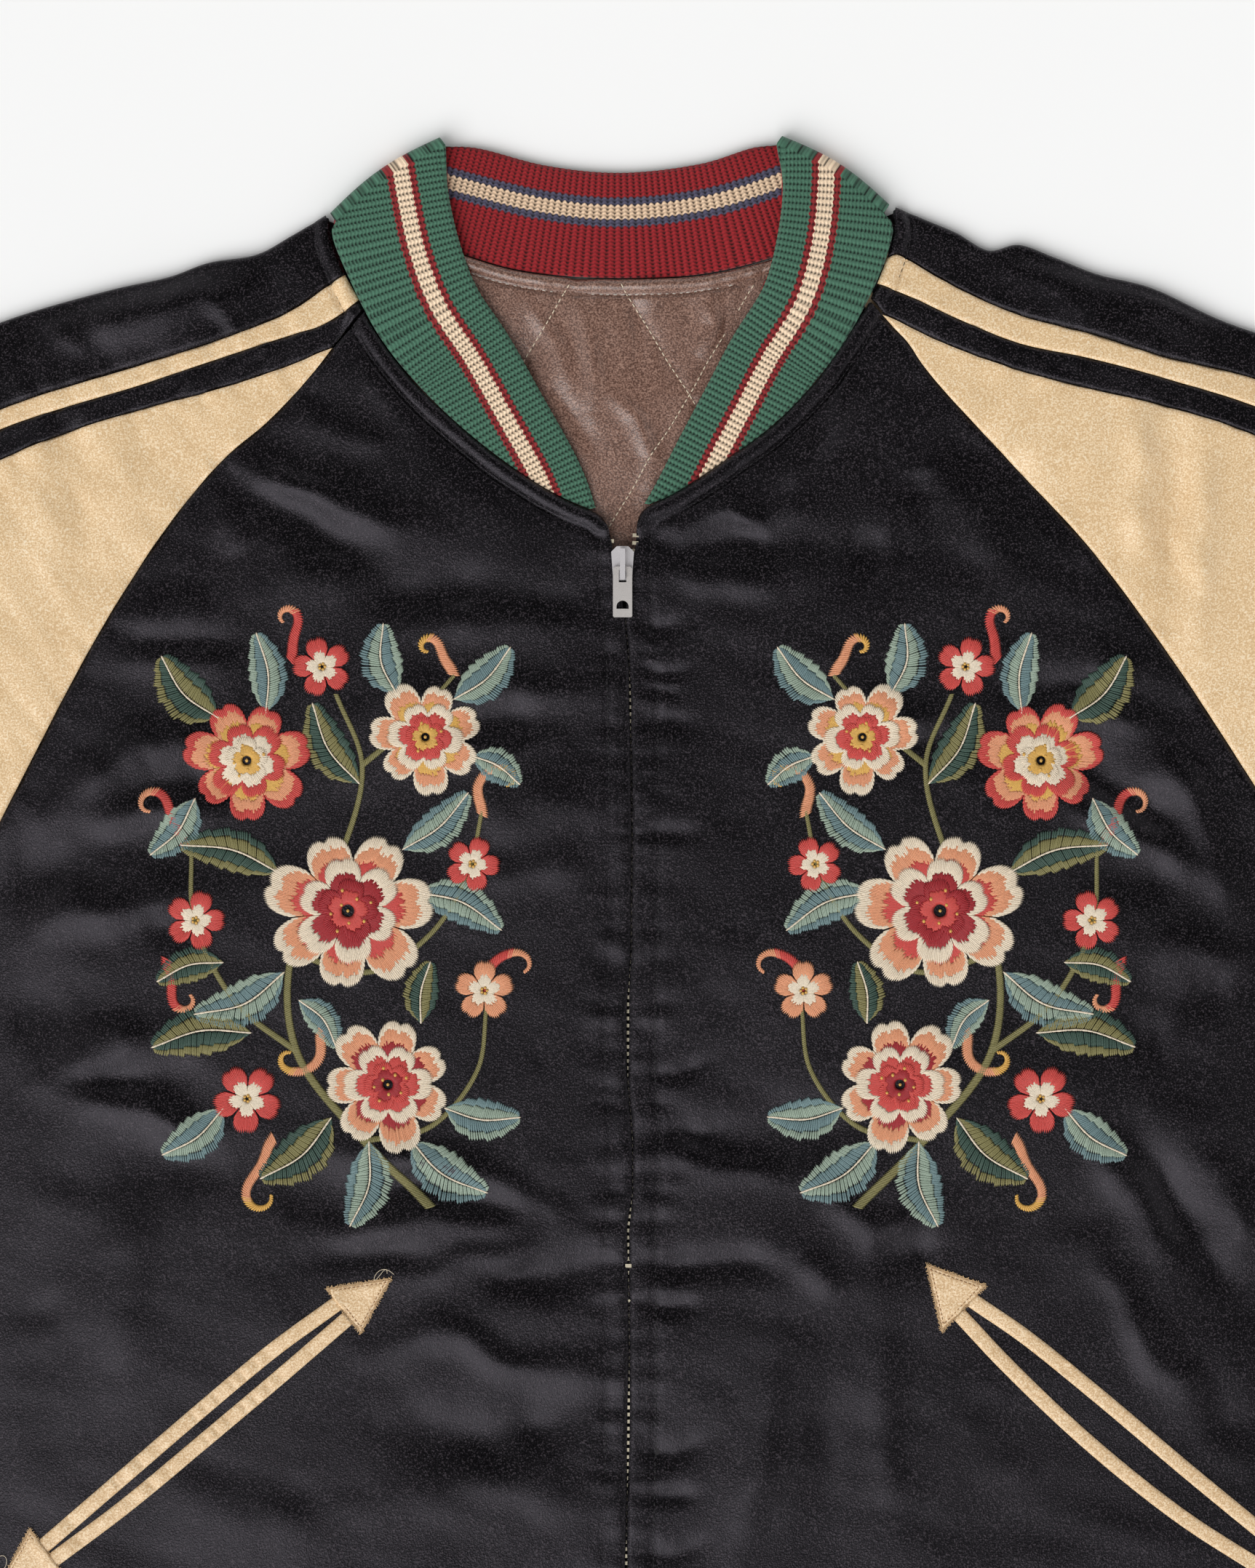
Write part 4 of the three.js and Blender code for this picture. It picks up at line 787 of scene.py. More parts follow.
def rib(name, stripes, span, pitch):
    """Rib knit with stripes across it and painted shade in its valleys and between its knots; its map runs
    from the free edge and along it.
    """
    finish, tree, shader = new_finish(name)
    at = node(tree, "ShaderNodeSeparateXYZ", {"Vector": where_on(tree, "UV")})
    depth, length = at.outputs["X"], at.outputs["Y"]
    turn = math(tree, "MULTIPLY", length, 2 * pi / pitch)
    wave = math(tree, "COSINE", turn)
    zigzag = math(tree, "MULTIPLY", wave, 0.00035)
    ragged = math(tree, "MULTIPLY_ADD", noise(tree, where_on(tree, "UV"), 420, 1.0), 0.0008, -0.0004)
    edge = math(tree, "ADD", math(tree, "ADD", depth, zigzag), ragged)
    colour = ramp(tree, math(tree, "DIVIDE", edge, span), stripes, stepped=True)
    within = math(tree, "FRACT", math(tree, "DIVIDE", length, pitch))
    beside = math(tree, "ABSOLUTE", math(tree, "SUBTRACT", within, 0.5))
    slant = math(tree, "MULTIPLY", beside, 4.4)
    course = math(tree, "MULTIPLY", depth, 2 * pi / KNOT_PITCH)
    knots = math(tree, "COSINE", math(tree, "ADD", course, slant))
    # Painted shade: the colour is darkened in the valleys between the ribs and between the knots, where the
    # knit falls into shade.
    valley = math(tree, "MULTIPLY_ADD", wave, -0.5, 0.5)
    between = math(tree, "MULTIPLY_ADD", knots, 0.5, 0.5)
    deep = math(tree, "POWER", valley, 2.0)
    painted_gap_shade = math(tree, "MULTIPLY", deep, math(tree, "MULTIPLY_ADD", between, 0.6, 0.4))
    painted_gap_shade = math(tree, "ADD", painted_gap_shade, math(tree, "MULTIPLY", math(tree, "POWER", between, 3.0), 0.32))
    fuzz = noise(tree, where_on(tree, "UV"), 1500, 3.0, 0.7)
    shade = math(tree, "MULTIPLY_ADD", painted_gap_shade, -0.95, math(tree, "MULTIPLY_ADD", fuzz, 1.0, 0.72))
    shade = math(tree, "MAXIMUM", shade, 0.06)
    tree.links.new(scaled(tree, colour, shade), shader.inputs["Base Color"])
    shader.inputs["Roughness"].default_value = 0.85
    shader.inputs["Specular IOR Level"].default_value = 0.25
    shader.inputs["Sheen Weight"].default_value = 0.15
    bumps(tree, shader, (fuzz, 0.0003), (knots, 0.00012))
    return finish

GREEN = tone(72, 112, 92)
RED_LINE = tone(140, 42, 44)
CREAM = tone(240, 214, 184)
INNER_CREAM = tone(222, 192, 162)
RED = tone(146, 30, 36)
NAVY = tone(78, 76, 96)
COLLAR_SPAN = 0.05
green_rib = rib("green_rib", [
    (0.0, GREEN), (0.244, RED_LINE), (0.298, CREAM), (0.436, RED_LINE), (0.492, GREEN),
], COLLAR_SPAN, RIB_PITCH / 1000)
red_rib = rib("red_rib", [
    (0.0, RED), (0.216, NAVY), (0.278, INNER_CREAM), (0.4, NAVY), (0.464, RED),
], COLLAR_SPAN, RIB_PITCH / 1000)
wide_rib = rib("wide_rib", [(0.0, GREEN), (1.0, GREEN)], 0.07, 0.0048)

# %% Metal, tape and thread
def plain(name, colour, roughness, metallic=0.0, grain=0.15, scale=1500):
    """A matt or metal finish with a fine uneven surface."""
    finish, tree, shader = new_finish(name)
    speck = noise(tree, where_on(tree), scale, 3.0, 0.6)
    dark = tuple(value * (1 - grain) for value in colour[:3]) + (1.0,)
    tree.links.new(blend(tree, speck, dark, colour), shader.inputs["Base Color"])
    shader.inputs["Roughness"].default_value = roughness
    shader.inputs["Metallic"].default_value = metallic
    bumps(tree, shader, (speck, 0.00004))
    return finish

tab_metal = plain("brushed_zinc", tone(184, 179, 176), 0.42, 0.55, 0.1, 2500)
# The slider's zinc is a lighter, less metallic copy of the tab's: its colour paints in the reflection that
# lights the crown.
crown_zinc_painted_light = plain("zinc_painted_light", tone(222, 218, 220), 0.32, 0.4, 0.1, 2500)
tooth_metal = plain("worn_teeth", tone(206, 196, 172), 0.45, 0.35, 0.25, 900)
tape_weave = plain("tape_weave", tone(34, 31, 34), 0.85, 0.0, 0.5, 1800)
black_thread = plain("black_thread", tone(26, 24, 27), 0.5, 0.0, 0.4, 3000)
cream_thread = plain("cream_thread", tone(232, 216, 190), 0.6, 0.0, 0.2, 3000)
gold_thread = plain("gold_thread", tone(206, 170, 124), 0.6, 0.0, 0.25, 3000)
brown_thread = plain("brown_thread", tone(160, 116, 74), 0.6, 0.0, 0.25, 3000)
white_thread = plain("white_thread", tone(232, 226, 214), 0.6, 0.0, 0.2, 3000)

# %% [markdown]
# ## The fronts
# Each front is cut in one piece from the neck to the hem. It's sewn to the collar with a padded
# roll, to the sleeve along the slanted raglan seam, and to the zip with a row of stitches that
# pulls the cloth into short puckers. The panel is made row by row from the zip to its seam.

# %% Seam effects
def seam_dip(distance, depth=0.9, reach=1.5):
    """Cloth turns down into a seam."""
    return -depth * np.exp(-(distance / reach) ** 2)

def puckers(distance, along, pitch, height, reach, seed):
    """Short ripples that run off a row of stitches."""
    return height * np.exp(-(distance / reach) ** 1.5) * hills(along, distance * 0.35, pitch, seed)

def neck_roll(distance, along):
    """The padded roll beside the collar seam and the stitched ditch that holds it."""
    full = 1.3 * np.sin(pi * np.clip(distance / 7.4, 0, 1)) * (1 + 0.25 * hills(along, 0 * along, 9, 31))
    ditch = -1.5 * np.exp(-((distance - 7.9) / 0.95) ** 2)
    return full + ditch + seam_dip(distance, 0.7, 0.9)

def raglan_line(side):
    """The front's seam to the sleeve, from the collar to the armpit."""
    seams = SLEEVE_CURVES[side]
    return smooth([*seams["front_raglan"], *seams["raglan"]], np.linspace(0, 1, 60))

GAPES = [(35, 9, 0.3), (-104, 17, 0.45), (-191, 11, 0.4), (-274, 21, 0.45), (-335, 10, 0.45)]

def slit_line(y):
    """The middle of the slit between the fronts."""
    slit_y, slit_x = np.array(SLIT).T
    return np.interp(-np.asarray(y, float), -slit_y, slit_x)

def slit_half(y):
    """Half the slit's width: the edges all but touch, and gape where teeth show."""
    extra = [widen * np.exp(-((y - middle) / reach) ** 4) for middle, reach, widen in GAPES]
    return 0.07 + np.sum(extra, axis=0)

def zip_edge(side):
    """The front's edge at the neck and the zip, from the shoulder down to the hem."""
    upper = smooth([(x, y) for y, x in NECK_TO_ZIP[side]], np.linspace(0, 1, 120))
    lower_y = np.append(np.arange(70, HEM_SEAM_Y, -2.0), HEM_SEAM_Y)
    lower = np.column_stack([slit_line(lower_y) + AWAY[side] * slit_half(lower_y), lower_y])
    return np.vstack([upper[upper[:, 1] > 78], lower])

# %% Front panels
FRONT_COLUMNS = 130
FRONT_LENGTH = 0.6

def front_grid(side):
    """Rows of points from the zip to the raglan and side seams."""
    away = AWAY[side]
    chest = np.arange(NECK_TO_ZIP[side][0][0] + 0.9, ARMPIT_Y, -1.65)
    y = np.concatenate([chest, np.arange(ARMPIT_Y, HEM_SEAM_Y + 0.9, -1.85), [HEM_SEAM_Y]])
    edge, raglan = zip_edge(side), raglan_line(side)
    inner = np.interp(-y, -edge[:, 1], edge[:, 0]) + away * 0.3 * (y > 74)
    armpit, hem = SIDE_SEAM[side]
    drawn = np.clip((ARMPIT_Y - y) / (ARMPIT_Y - HEM_SEAM_Y), 0, 1) ** 3
    outer = np.interp(-y, -raglan[:, 1], raglan[:, 0])
    outer = np.where(y < raglan[-1, 1], armpit + (hem - armpit) * drawn, outer) - away * 0.25
    share = np.linspace(0, 1, FRONT_COLUMNS + 1)[None, :]
    x = inner[:, None] + (outer - inner)[:, None] * share
    return np.dstack([x, np.repeat(y[:, None], FRONT_COLUMNS + 1, axis=1)])

def front_height(side, x, y):
    """The front's height with the roll at the neck, its seams and the puckers at the zip."""
    height = face_height(x, y)
    neck = zip_edge(side)
    above = neck[neck[:, 1] > 112]
    distance, along = near_line(x, y, above)
    height = height + np.where(y > 104, neck_roll(distance, along), 0)
    distance, along = near_line(x, y, raglan_line(side))
    height += seam_dip(distance) + puckers(distance, along, 6, 0.35, 9, 32)
    from_zip = np.abs(x - slit_line(y))
    below = 1 / (1 + np.exp(-(108 - y) / 4))
    stitched = ZIP_STITCHES[side]
    zip_row = -0.5 * np.exp(-((from_zip - stitched) / 0.9) ** 2) - 0.55 * np.exp(-(from_zip / 0.55) ** 2)
    zip_row += 0.75 * np.exp(-((from_zip - stitched) / 7.5) ** 2) * hills(y, from_zip * 0.25, 6.2, 33)
    zip_row += 0.3 * np.exp(-(from_zip / 14) ** 2) * hills(y, from_zip * 0.3, 3.1, 34)
    return np.maximum(height + zip_row * below, EDGE_HEIGHT - 0.5)

def front(side):
    """One front as a closed wall of satin."""
    plane = front_grid(side)
    top = front_height(side, plane[..., 0], plane[..., 1])
    near_tape = np.abs(plane[..., 0] - slit_line(plane[..., 1])) < 17
    low = np.where(near_tape, np.maximum(top - SATIN_WALL, ZIP_TOP - SATIN_WALL - 0.4), top - SATIN_WALL)
    low = np.minimum(low, top - 0.5)
    piece = shell(f"front_{side}", lift(plane, top), lift(plane, low), uv=lay_uv(plane))
    flat = (abs(SIDE_SEAM[side][0]) / 1000, FRONT_LENGTH)
    return finish_piece(piece, black_satin, "black_satin", f"front_{side}", flat, "back")

for side in SIDES:
    edge = round(path_length(zip_edge(side)))
    print("front", side, len(front(side).data.polygons), "faces, edge", edge, "mm")

# %% [markdown]
# ## The sleeves
# A raglan sleeve reaches the collar. Its upper panel folds over the top of the arm; below it
# come a gold stripe, a black band and a gold panel, and the same three again underneath. All
# panels share their seam lines, so each is a strip of cloth between two of them.

# %% Sleeve lines
OVERARM_WIDTH = 0.07

def seam_points(side, name, body_rows=200, arm_rows=100):
    """Points down one seam of the sleeve, dense to the armpit and wider apart below it."""
    seams = SLEEVE_CURVES[side]
    if name in ("raglan", "back_raglan"):
        body = smooth(seams[name], np.linspace(0, 1, body_rows + 1))
        arm = smooth(seams["underarm"], np.linspace(0, 1, arm_rows + 1))
        return np.vstack([body, arm[1:]])
    shares = np.concatenate([
        np.linspace(0, ARMPIT_SHARE, body_rows + 1),
        np.linspace(ARMPIT_SHARE, 1, arm_rows + 1)[1:],
    ])
    return smooth(seams[name], shares)

def band_edges(side):
    """The front black band's two seams; the lower one runs down the raglan first."""
    low = seam_points(side, "stripe_low")
    head = smooth(SLEEVE_CURVES[side]["band_end"], np.linspace(0, 1, 8))[:-1]
    gold = seam_points(side, "gold_top")
    first = smooth(low[:16], np.linspace(0, 1, 16 + len(head)))
    return np.vstack([first, low[16:]]), np.vstack([head, gold])

# %% Beside the collar
def collar_seam(side):
    """The collar's seam from the zip up to its fold at the shoulder."""
    points = [row[0] for row in COLLAR_FRONT[side]] + [collar_fold(side)[0]]
    return smooth(points, np.linspace(0, 1, 80))

def collar_roll(side, plane):
    """The padded roll goes on over the sleeve's end beside the collar."""
    distance, along = near_line(plane[..., 0], plane[..., 1], collar_seam(side)[30:])
    return np.where(distance < 14, neck_roll(np.maximum(distance - 0.4, 0), along), 0)

def tuck_in(plane, reach=0.9):
    """Moves a panel's first row on to the collar's seam."""
    run = plane[0] - plane[1]
    return run / np.linalg.norm(run, axis=1)[:, None] * reach

# %% Sleeve panels
def cloth_strip(side, kind, seams, columns, finish, seed):
    """A panel of one sleeve between two seams, on the jacket's face or on the table."""
    name = f"sleeve_{side}_{kind}"
    upper, lower = seams
    plane = strip(upper, lower, columns)
    plane[0] += tuck_in(plane)
    width = np.linalg.norm(lower - upper, axis=1)[:, None]
    across = width * np.linspace(0, 1, columns + 1)[None, :]
    from_seam = np.minimum(across, width - across)
    down = np.repeat(travelled(upper)[:, None], columns + 1, axis=1)
    narrow = np.clip(width / 24, 0.35, 1)
    if kind.startswith("front"):
        top = face_height(plane[..., 0], plane[..., 1])
        top += seam_dip(from_seam, 0.5, 0.8) + puckers(from_seam, down, 5.5, 0.8 * narrow, 8, seed)
        top += 0.45 * hills(down, across * 0.25, 6.5, seed + 1)
        top += collar_roll(side, plane)
        low = top - SATIN_WALL
        piece = shell(name, lift(plane, top), lift(plane, low), uv=lay_uv(plane))
    else:
        rise = 0.35 * np.clip(hills(plane[..., 0], plane[..., 1], 30, seed, 2.2, 0.6), 0, 1)
        rise = rise * (1 - np.exp(-from_seam / 6))
        piece = shell(name, lift(plane, rise), lift(plane, rise * 0 + SATIN_WALL), uv=lay_uv(plane))
    flat = (float(width.max()) / 1000, max(down[-1, 0], path_length(lower)) / 1000)
    return finish_piece(piece, finish, finish.name.split(".")[0], name, flat, "back")

def overarm(side):
    """The panel over the top of the arm, from the front stripe round the fold to the back one."""
    names = ("shoulder", "stripe_top", "back_stripe_top")
    top, front_edge, back_edge = (seam_points(side, name) for name in names)
    reach = np.linalg.norm(top - front_edge, axis=1)[:, None]
    out = (top - front_edge) / reach
    turn = top + (front_edge - top) * FOLD_RADIUS / reach
    shares = SEAM_GAP / reach + (1 - SEAM_GAP / reach) * np.linspace(0, 1, 15)[None, :]
    face = front_edge[:, None, :] + (turn - front_edge)[:, None, :] * shares[:, :, None]
    face[0] += tuck_in(face)
    height = face_height(face[..., 0], face[..., 1]) + collar_roll(side, face)
    from_seam = reach * shares
    down = travelled(top)[:, None] + 0 * from_seam
    calm = 1 - np.exp(-(reach - from_seam) / 3)
    height += seam_dip(from_seam, 0.5, 0.8) + puckers(from_seam, down, 6, 0.4, 9, 41) * calm
    height += 0.25 * hills(down, from_seam * 0.5, 8, 42) * calm
    height += 2.0 * hills(face[..., 0], face[..., 1], 22, 43, 1.6, 0.9) * calm
    outer, inner = [lift(face, height)], [lift(face, height - SATIN_WALL)]
    edge_height = height[:, -1]
    for angle in np.radians([67, 45, 22, 0, -22, -45, -67]):
        at = turn + out * FOLD_RADIUS * cos(angle)
        back_in = turn + out * (FOLD_RADIUS - SATIN_WALL) * cos(angle)
        outer.append(np.column_stack([at, edge_height / 2 * (1 + sin(angle))])[:, None, :])
        z = edge_height / 2 + (edge_height / 2 - SATIN_WALL) * sin(angle)
        inner.append(np.column_stack([back_in, z])[:, None, :])
    run = np.linalg.norm(back_edge - turn, axis=1)[:, None]
    shares = (1 - SEAM_GAP / run) * np.linspace(0, 1, 5)[None, :]
    under = turn[:, None, :] + (back_edge - turn)[:, None, :] * shares[:, :, None]
    outer.append(lift(under, 0.0))
    inner.append(lift(under, SATIN_WALL))
    outer, inner = np.concatenate(outer, axis=1), np.concatenate(inner, axis=1)
    name = f"sleeve_{side}_overarm"
    piece = shell(name, outer, inner, stride=2, uv=lay_uv(outer[..., :2]))
    flat = (OVERARM_WIDTH, path_length(top) / 1000)
    return finish_piece(piece, black_satin, "black_satin", name, flat, "back")

for side in SIDES:
    overarm(side)
    front_seams = [seam_points(side, name) for name in ("stripe_top", "stripe_low", "gold_top", "raglan")]
    cloth_strip(side, "front_stripe", front_seams[:2], 10, gold_satin, 51)
    cloth_strip(side, "front_band", band_edges(side), 10, black_satin, 53)
    cloth_strip(side, "front_panel", front_seams[2:], 68, gold_satin, 55)
    names = ("back_stripe_top", "back_stripe_low", "back_gold_top", "back_raglan")
    back_seams = [seam_points(side, name, 60, 60) for name in names]
    cloth_strip(side, "back_stripe", back_seams[:2], 4, gold_satin, 57)
    cloth_strip(side, "back_band", back_seams[1:3], 4, black_satin, 58)
    cloth_strip(side, "back_panel", back_seams[2:], 24, gold_satin, 59)
print("sleeve panels:", sum("sleeve" in piece.name for piece in PIECES))

# %% [markdown]
# ## The back and its lining
# The back lies on the table. Above the V of the neck its lining shows: taupe satin quilted to
# wadding along two slanting rows of thread, so it puffs up between them.

# %% Back
def back():
    """The back panel, between both back raglan seams, the sides and the neck."""
    sides = []
    for side in SIDES:
        raglan = smooth(SLEEVE_CURVES[side]["back_raglan"], np.linspace(0, 1, 90))
        armpit, hem = SIDE_SEAM[side]
        share = np.linspace(0, 1, 90)[1:]
        armpit_y = SLEEVE_CURVES[side]["underarm"][0][1]
        y = armpit_y + (HEM_SEAM_Y - armpit_y) * share
        sides.append(np.vstack([raglan, np.column_stack([armpit + (hem - armpit) * share ** 3, y])]))
    plane = strip(*sides, 84, 2 * SEAM_GAP)
    neck = back_neck(plane[0, :, 0]) - NECK_GAP
    drop = (plane[0, :, 1] - neck)[None, :] * np.exp(-np.arange(len(plane)) / 10)[:, None]
    plane = np.dstack([plane[..., 0], plane[..., 1] - drop])
    rise = 0.4 * np.clip(hills(plane[..., 0], plane[..., 1], 45, 61, 2.0, 0.3), 0, 1)
    piece = shell("back", lift(plane, rise), lift(plane, rise * 0 + SATIN_WALL), uv=lay_uv(plane))
    return finish_piece(piece, black_satin, "black_satin", "back", (0.61, 0.61))

print("back:", len(back().data.polygons), "faces")

# %% Lining
QUILT_PITCH = 79
QUILT_SLOPE = tan(radians(31))
QUILT_CROSSING = (26.2, 166.5)
LINING_LOW = SATIN_WALL + 0.35
LINING_TOP = LINING_LOW + 1.1
QUILT_PUFF = 1.5

LINING_CREASES = [
    ([(-42, 206), (-30, 188), (-24, 168)], 4.0, 1.0),
    ([(-22, 212), (-18, 196), (-14, 176), (-16, 158)], 4.5, 1.2),
    ([(2, 208), (6, 190), (4, 170)], 4.0, -0.9),
    ([(34, 208), (38, 196), (30, 182)], 4.0, 1.3),
    ([(40, 200), (48, 192), (44, 180)], 3.5, -1.0),
    ([(-10, 170), (4, 156), (10, 140), (6, 124)], 4.0, 1.1),
    ([(-34, 172), (-22, 156), (-14, 142)], 4.0, -0.9),
]

def quilt_distance(x, y):
    """Distance along x to the nearest row of quilting."""
    rise = (y - QUILT_CROSSING[1]) * QUILT_SLOPE
    nearest = []
    for sign in (-1, 1):
        share = (x - QUILT_CROSSING[0] + sign * rise) / QUILT_PITCH
        nearest.append(np.abs(share - np.round(share)) * QUILT_PITCH)
    return np.minimum(*nearest)

def lining_height(x, y):
    """The quilted lining, with a padded roll below the neck seam and soft upright creases."""
    height = LINING_TOP + QUILT_PUFF * (1 - np.exp(-quilt_distance(x, y) / 7))
    height += 1.7 * hills(x, y, 17, 62, 3.0, 1.35) + 0.3 * hills(x, y, 7, 63, 2.0, 1.2)
    for line, half, rise in LINING_CREASES:
        distance, along = near_line(x, y, line)
        length = path_length(line)
        fade = np.sin(pi * np.clip(along / length, 0.02, 0.98)) ** 0.6
        height = height + 1.6 * rise * fade * np.exp(-(distance / half) ** 2)
    below = np.maximum(back_neck(x) - y, 0)
    roll = 1.9 * np.sin(pi * np.clip(below / 6.4, 0, 1)) - 1.3 * np.exp(-((below - 6.9) / 0.9) ** 2)
    roll += puckers(np.abs(below - 6.9), x, 4.5, 0.5, 7, 64)
    return height + roll

def lining_sides(y):
    """The lining's two edges at y."""
    table = np.array(LINING_ROWS[::-1], float)
    return (np.interp(y, table[:, 0], table[:, column]) for column in (1, 2))

def lining():
    """The part of the back's lining that the neck opening shows."""
    columns, rows = 190, 140
    x = np.linspace(-104, 96, columns + 1)
    neck = back_neck(x) - NECK_GAP
    share = np.linspace(0, 1, rows + 1)[:, None]
    lowest = LINING_ROWS[-1][0]
    y = lowest + (neck[None, :] - lowest) * share
    left, right = lining_sides(y)
    across = np.linspace(0, 1, columns + 1)[None, :]
    lifted = np.clip((y - 170) / (neck[None, :] - 170), 0, 1)
    lifted = lifted * lifted * (3 - 2 * lifted)
    straight = left + (right - left) * across
    plane = np.dstack([straight + (x[None, :] - straight) * lifted, y])
    top = lining_height(plane[..., 0], plane[..., 1])
    piece = shell("lining_back", lift(plane, top), lift(plane, top * 0 + LINING_LOW), uv=lay_uv(plane))
    return finish_piece(piece, taupe_satin, "taupe_lining", "lining_back", (0.22, 0.16), "back")

print("lining:", len(lining().data.polygons), "faces")

# %% [markdown]
# ## The collar
# One knitted band, folded at both sides of the neck: outside green, inside red, with stripes
# along its free edge. Its ribs run square to the free edge, so each point finds its rib and its
# stripe from its distance along and from that edge.

# %% Collar bands
FOLD_BULGE = 3.2
FOLD_ANGLES = [70, 50, 30, 10, -10, -30, -50, -70]
COLLAR_CUT = (0.05, 0.86)

def bulged(points, side, across):
    """The fold at the side of the neck curves out a little between its two ends."""
    seam, _, out = collar_fold(side)
    inside = np.maximum((seam - points) @ out, 0)
    return points + out * (FOLD_BULGE * np.sin(pi * across) * np.exp(-inside / 10))[:, None]

def collar_lines(radius, front_count, back_count):
    """Cross lines of the band from the right end, round both folds, to the left end."""
    def lines_of(rows, count, angle):
        seams, frees = (smooth([row[end] for row in rows], np.linspace(0, 1, count + 1)) for end in (0, 1))
        return [(seam, free, angle, None) for seam, free in zip(seams, frees)]

    def front_lines(side):
        return lines_of([*COLLAR_FRONT[side], collar_fold(side)[:2]], front_count, None)

    def turn_lines(side, angles):
        seam, free, out = collar_fold(side)
        return [(seam, free, radians(angle), out) for angle in angles]

    rows = front_lines("right") + turn_lines("right", FOLD_ANGLES)
    rows += lines_of(BACK_NECK_ROWS, back_count, -pi / 2)
    return rows + turn_lines("left", FOLD_ANGLES[::-1]) + front_lines("left")[::-1]

def collar_band(name, radius, finish, front_count, back_count, ribs_in_front):
    """One rib of the collar as a wall that is folded round both sides of the neck."""
    lines = collar_lines(radius, front_count, back_count)
    columns = 30
    across = np.linspace(0, 1, columns + 1)
    face, lining, map_points = [], [], []
    around = {side: [*COLLAR_FRONT[side], COLLAR_FOLD[side]] for side in SIDES}
    around["back"] = [COLLAR_FOLD["right"], *COLLAR_BACK, COLLAR_FOLD["left"]]
    edge = {part: smooth([row[1] for row in rows], np.linspace(0, 1, 90)) for part, rows in around.items()}
    wrap, middle = radius - RIB_WALL, COLLAR_MIDDLE_HEIGHT
    turns = len(FOLD_ANGLES)
    for number, (seam, free, angle, out) in enumerate(lines):
        seam, free = np.array(seam), np.array(free)
        length = np.linalg.norm(free - seam)
        start = seam + (free - seam) * SEAM_GAP / length
        points = start + (free - start) * across[:, None]
        side = "right" if number < len(lines) / 2 else "left"
        points = bulged(points, side, across)
        x, y = points[:, 0], points[:, 1]
        if front_count < number - turns < front_count + back_count + 2:
            distance, along = near_line(x, y, edge["back"])
        else:
            end = edge[side][-1] + (edge[side][-1] - edge[side][-2]) * 60
            distance, along = near_line(x, y, np.vstack([edge[side], end]))
            along = along + (1000 if side == "left" else 0)
        wave = np.cos(2 * pi * along / RIB_PITCH)
        relief = 0.42 * wave + 0.12 * hills(along, distance * 0.3, 9, 71)
        edge_round = -1.0 * np.exp(-(distance / 1.1) ** 2)
        seam_side = -0.5 * np.exp(-(across * length / 2.2) ** 2)
        soft = 0.45 * hills(x, y, 21, 72, 1.8, 0.9)
        if angle is None:
            relief = (relief if ribs_in_front else relief * 0) + edge_round + seam_side + soft
            face.append(np.column_stack([points, middle + radius + relief]))
            lining.append(np.column_stack([points, np.full(len(x), middle + wrap)]))
        elif out is None:
            low = middle - radius
            relief = (0 * relief if ribs_in_front else relief + edge_round + 0.5 * seam_side)
            face.append(np.column_stack([points, np.full(len(x), low)]))
            lining.append(np.column_stack([points, low + RIB_WALL + relief]))
        else:
            outer = points + out * radius * cos(angle)
            inner = points + out * wrap * cos(angle)
            ripple = relief * 0.5 if ribs_in_front else 0 * relief
            z = middle + radius * sin(angle) + ripple * max(sin(angle), 0)
            face.append(np.column_stack([outer, z]))
            lining.append(np.column_stack([inner, np.full(len(x), middle + wrap * sin(angle))]))
        map_points.append(np.column_stack([distance, along]) / 1000)
    face, lining, map_points = np.array(face), np.array(lining), np.array(map_points)
    fine, coarse = (face, lining) if ribs_in_front else (lining, face)
    piece = shell(name, fine, coarse, uv=map_points)
    return finish_piece(piece, finish, finish.name.split(".")[0], name, COLLAR_CUT, "back")

collar = [
    collar_band("collar_outer_rib", OUTER_RIB_RADIUS, green_rib, 360, 50, True),
    collar_band("collar_inner_rib", INNER_RIB_RADIUS, red_rib, 50, 400, False),
]
print("collar:", [len(piece.data.polygons) for piece in collar], "faces")

# %% [markdown]
# ## Hem and cuffs
# Wide rib, folded double into a flat tube. The ribs are a cosine across the knit, which gives
# them their round backs and narrow valleys.

# %% Hem
WIDE_RIB_PITCH = 4.8
WIDE_RIB_RELIEF = 0.7
HEM_TO_ZIP = 15.2
HEM_CUT = (0.07, 1.13)
CUFF_CUT = (0.2, 0.075)
TURN_ANGLES = [60, 30, 0, -30, -60]

def rib_wave(travel):
    """The relief of the wide rib at a distance along the knit."""
    return WIDE_RIB_RELIEF * (0.5 - 0.5 * np.cos(2 * pi * travel / WIDE_RIB_PITCH))

def turned_edges(at, first, last):
    """How far the rib turns down at its free edge and at its seam."""
    return -1.2 * np.exp(-((at - last) / 1.4) ** 2) - 0.8 * np.exp(-((at - first) / 1.2) ** 2)

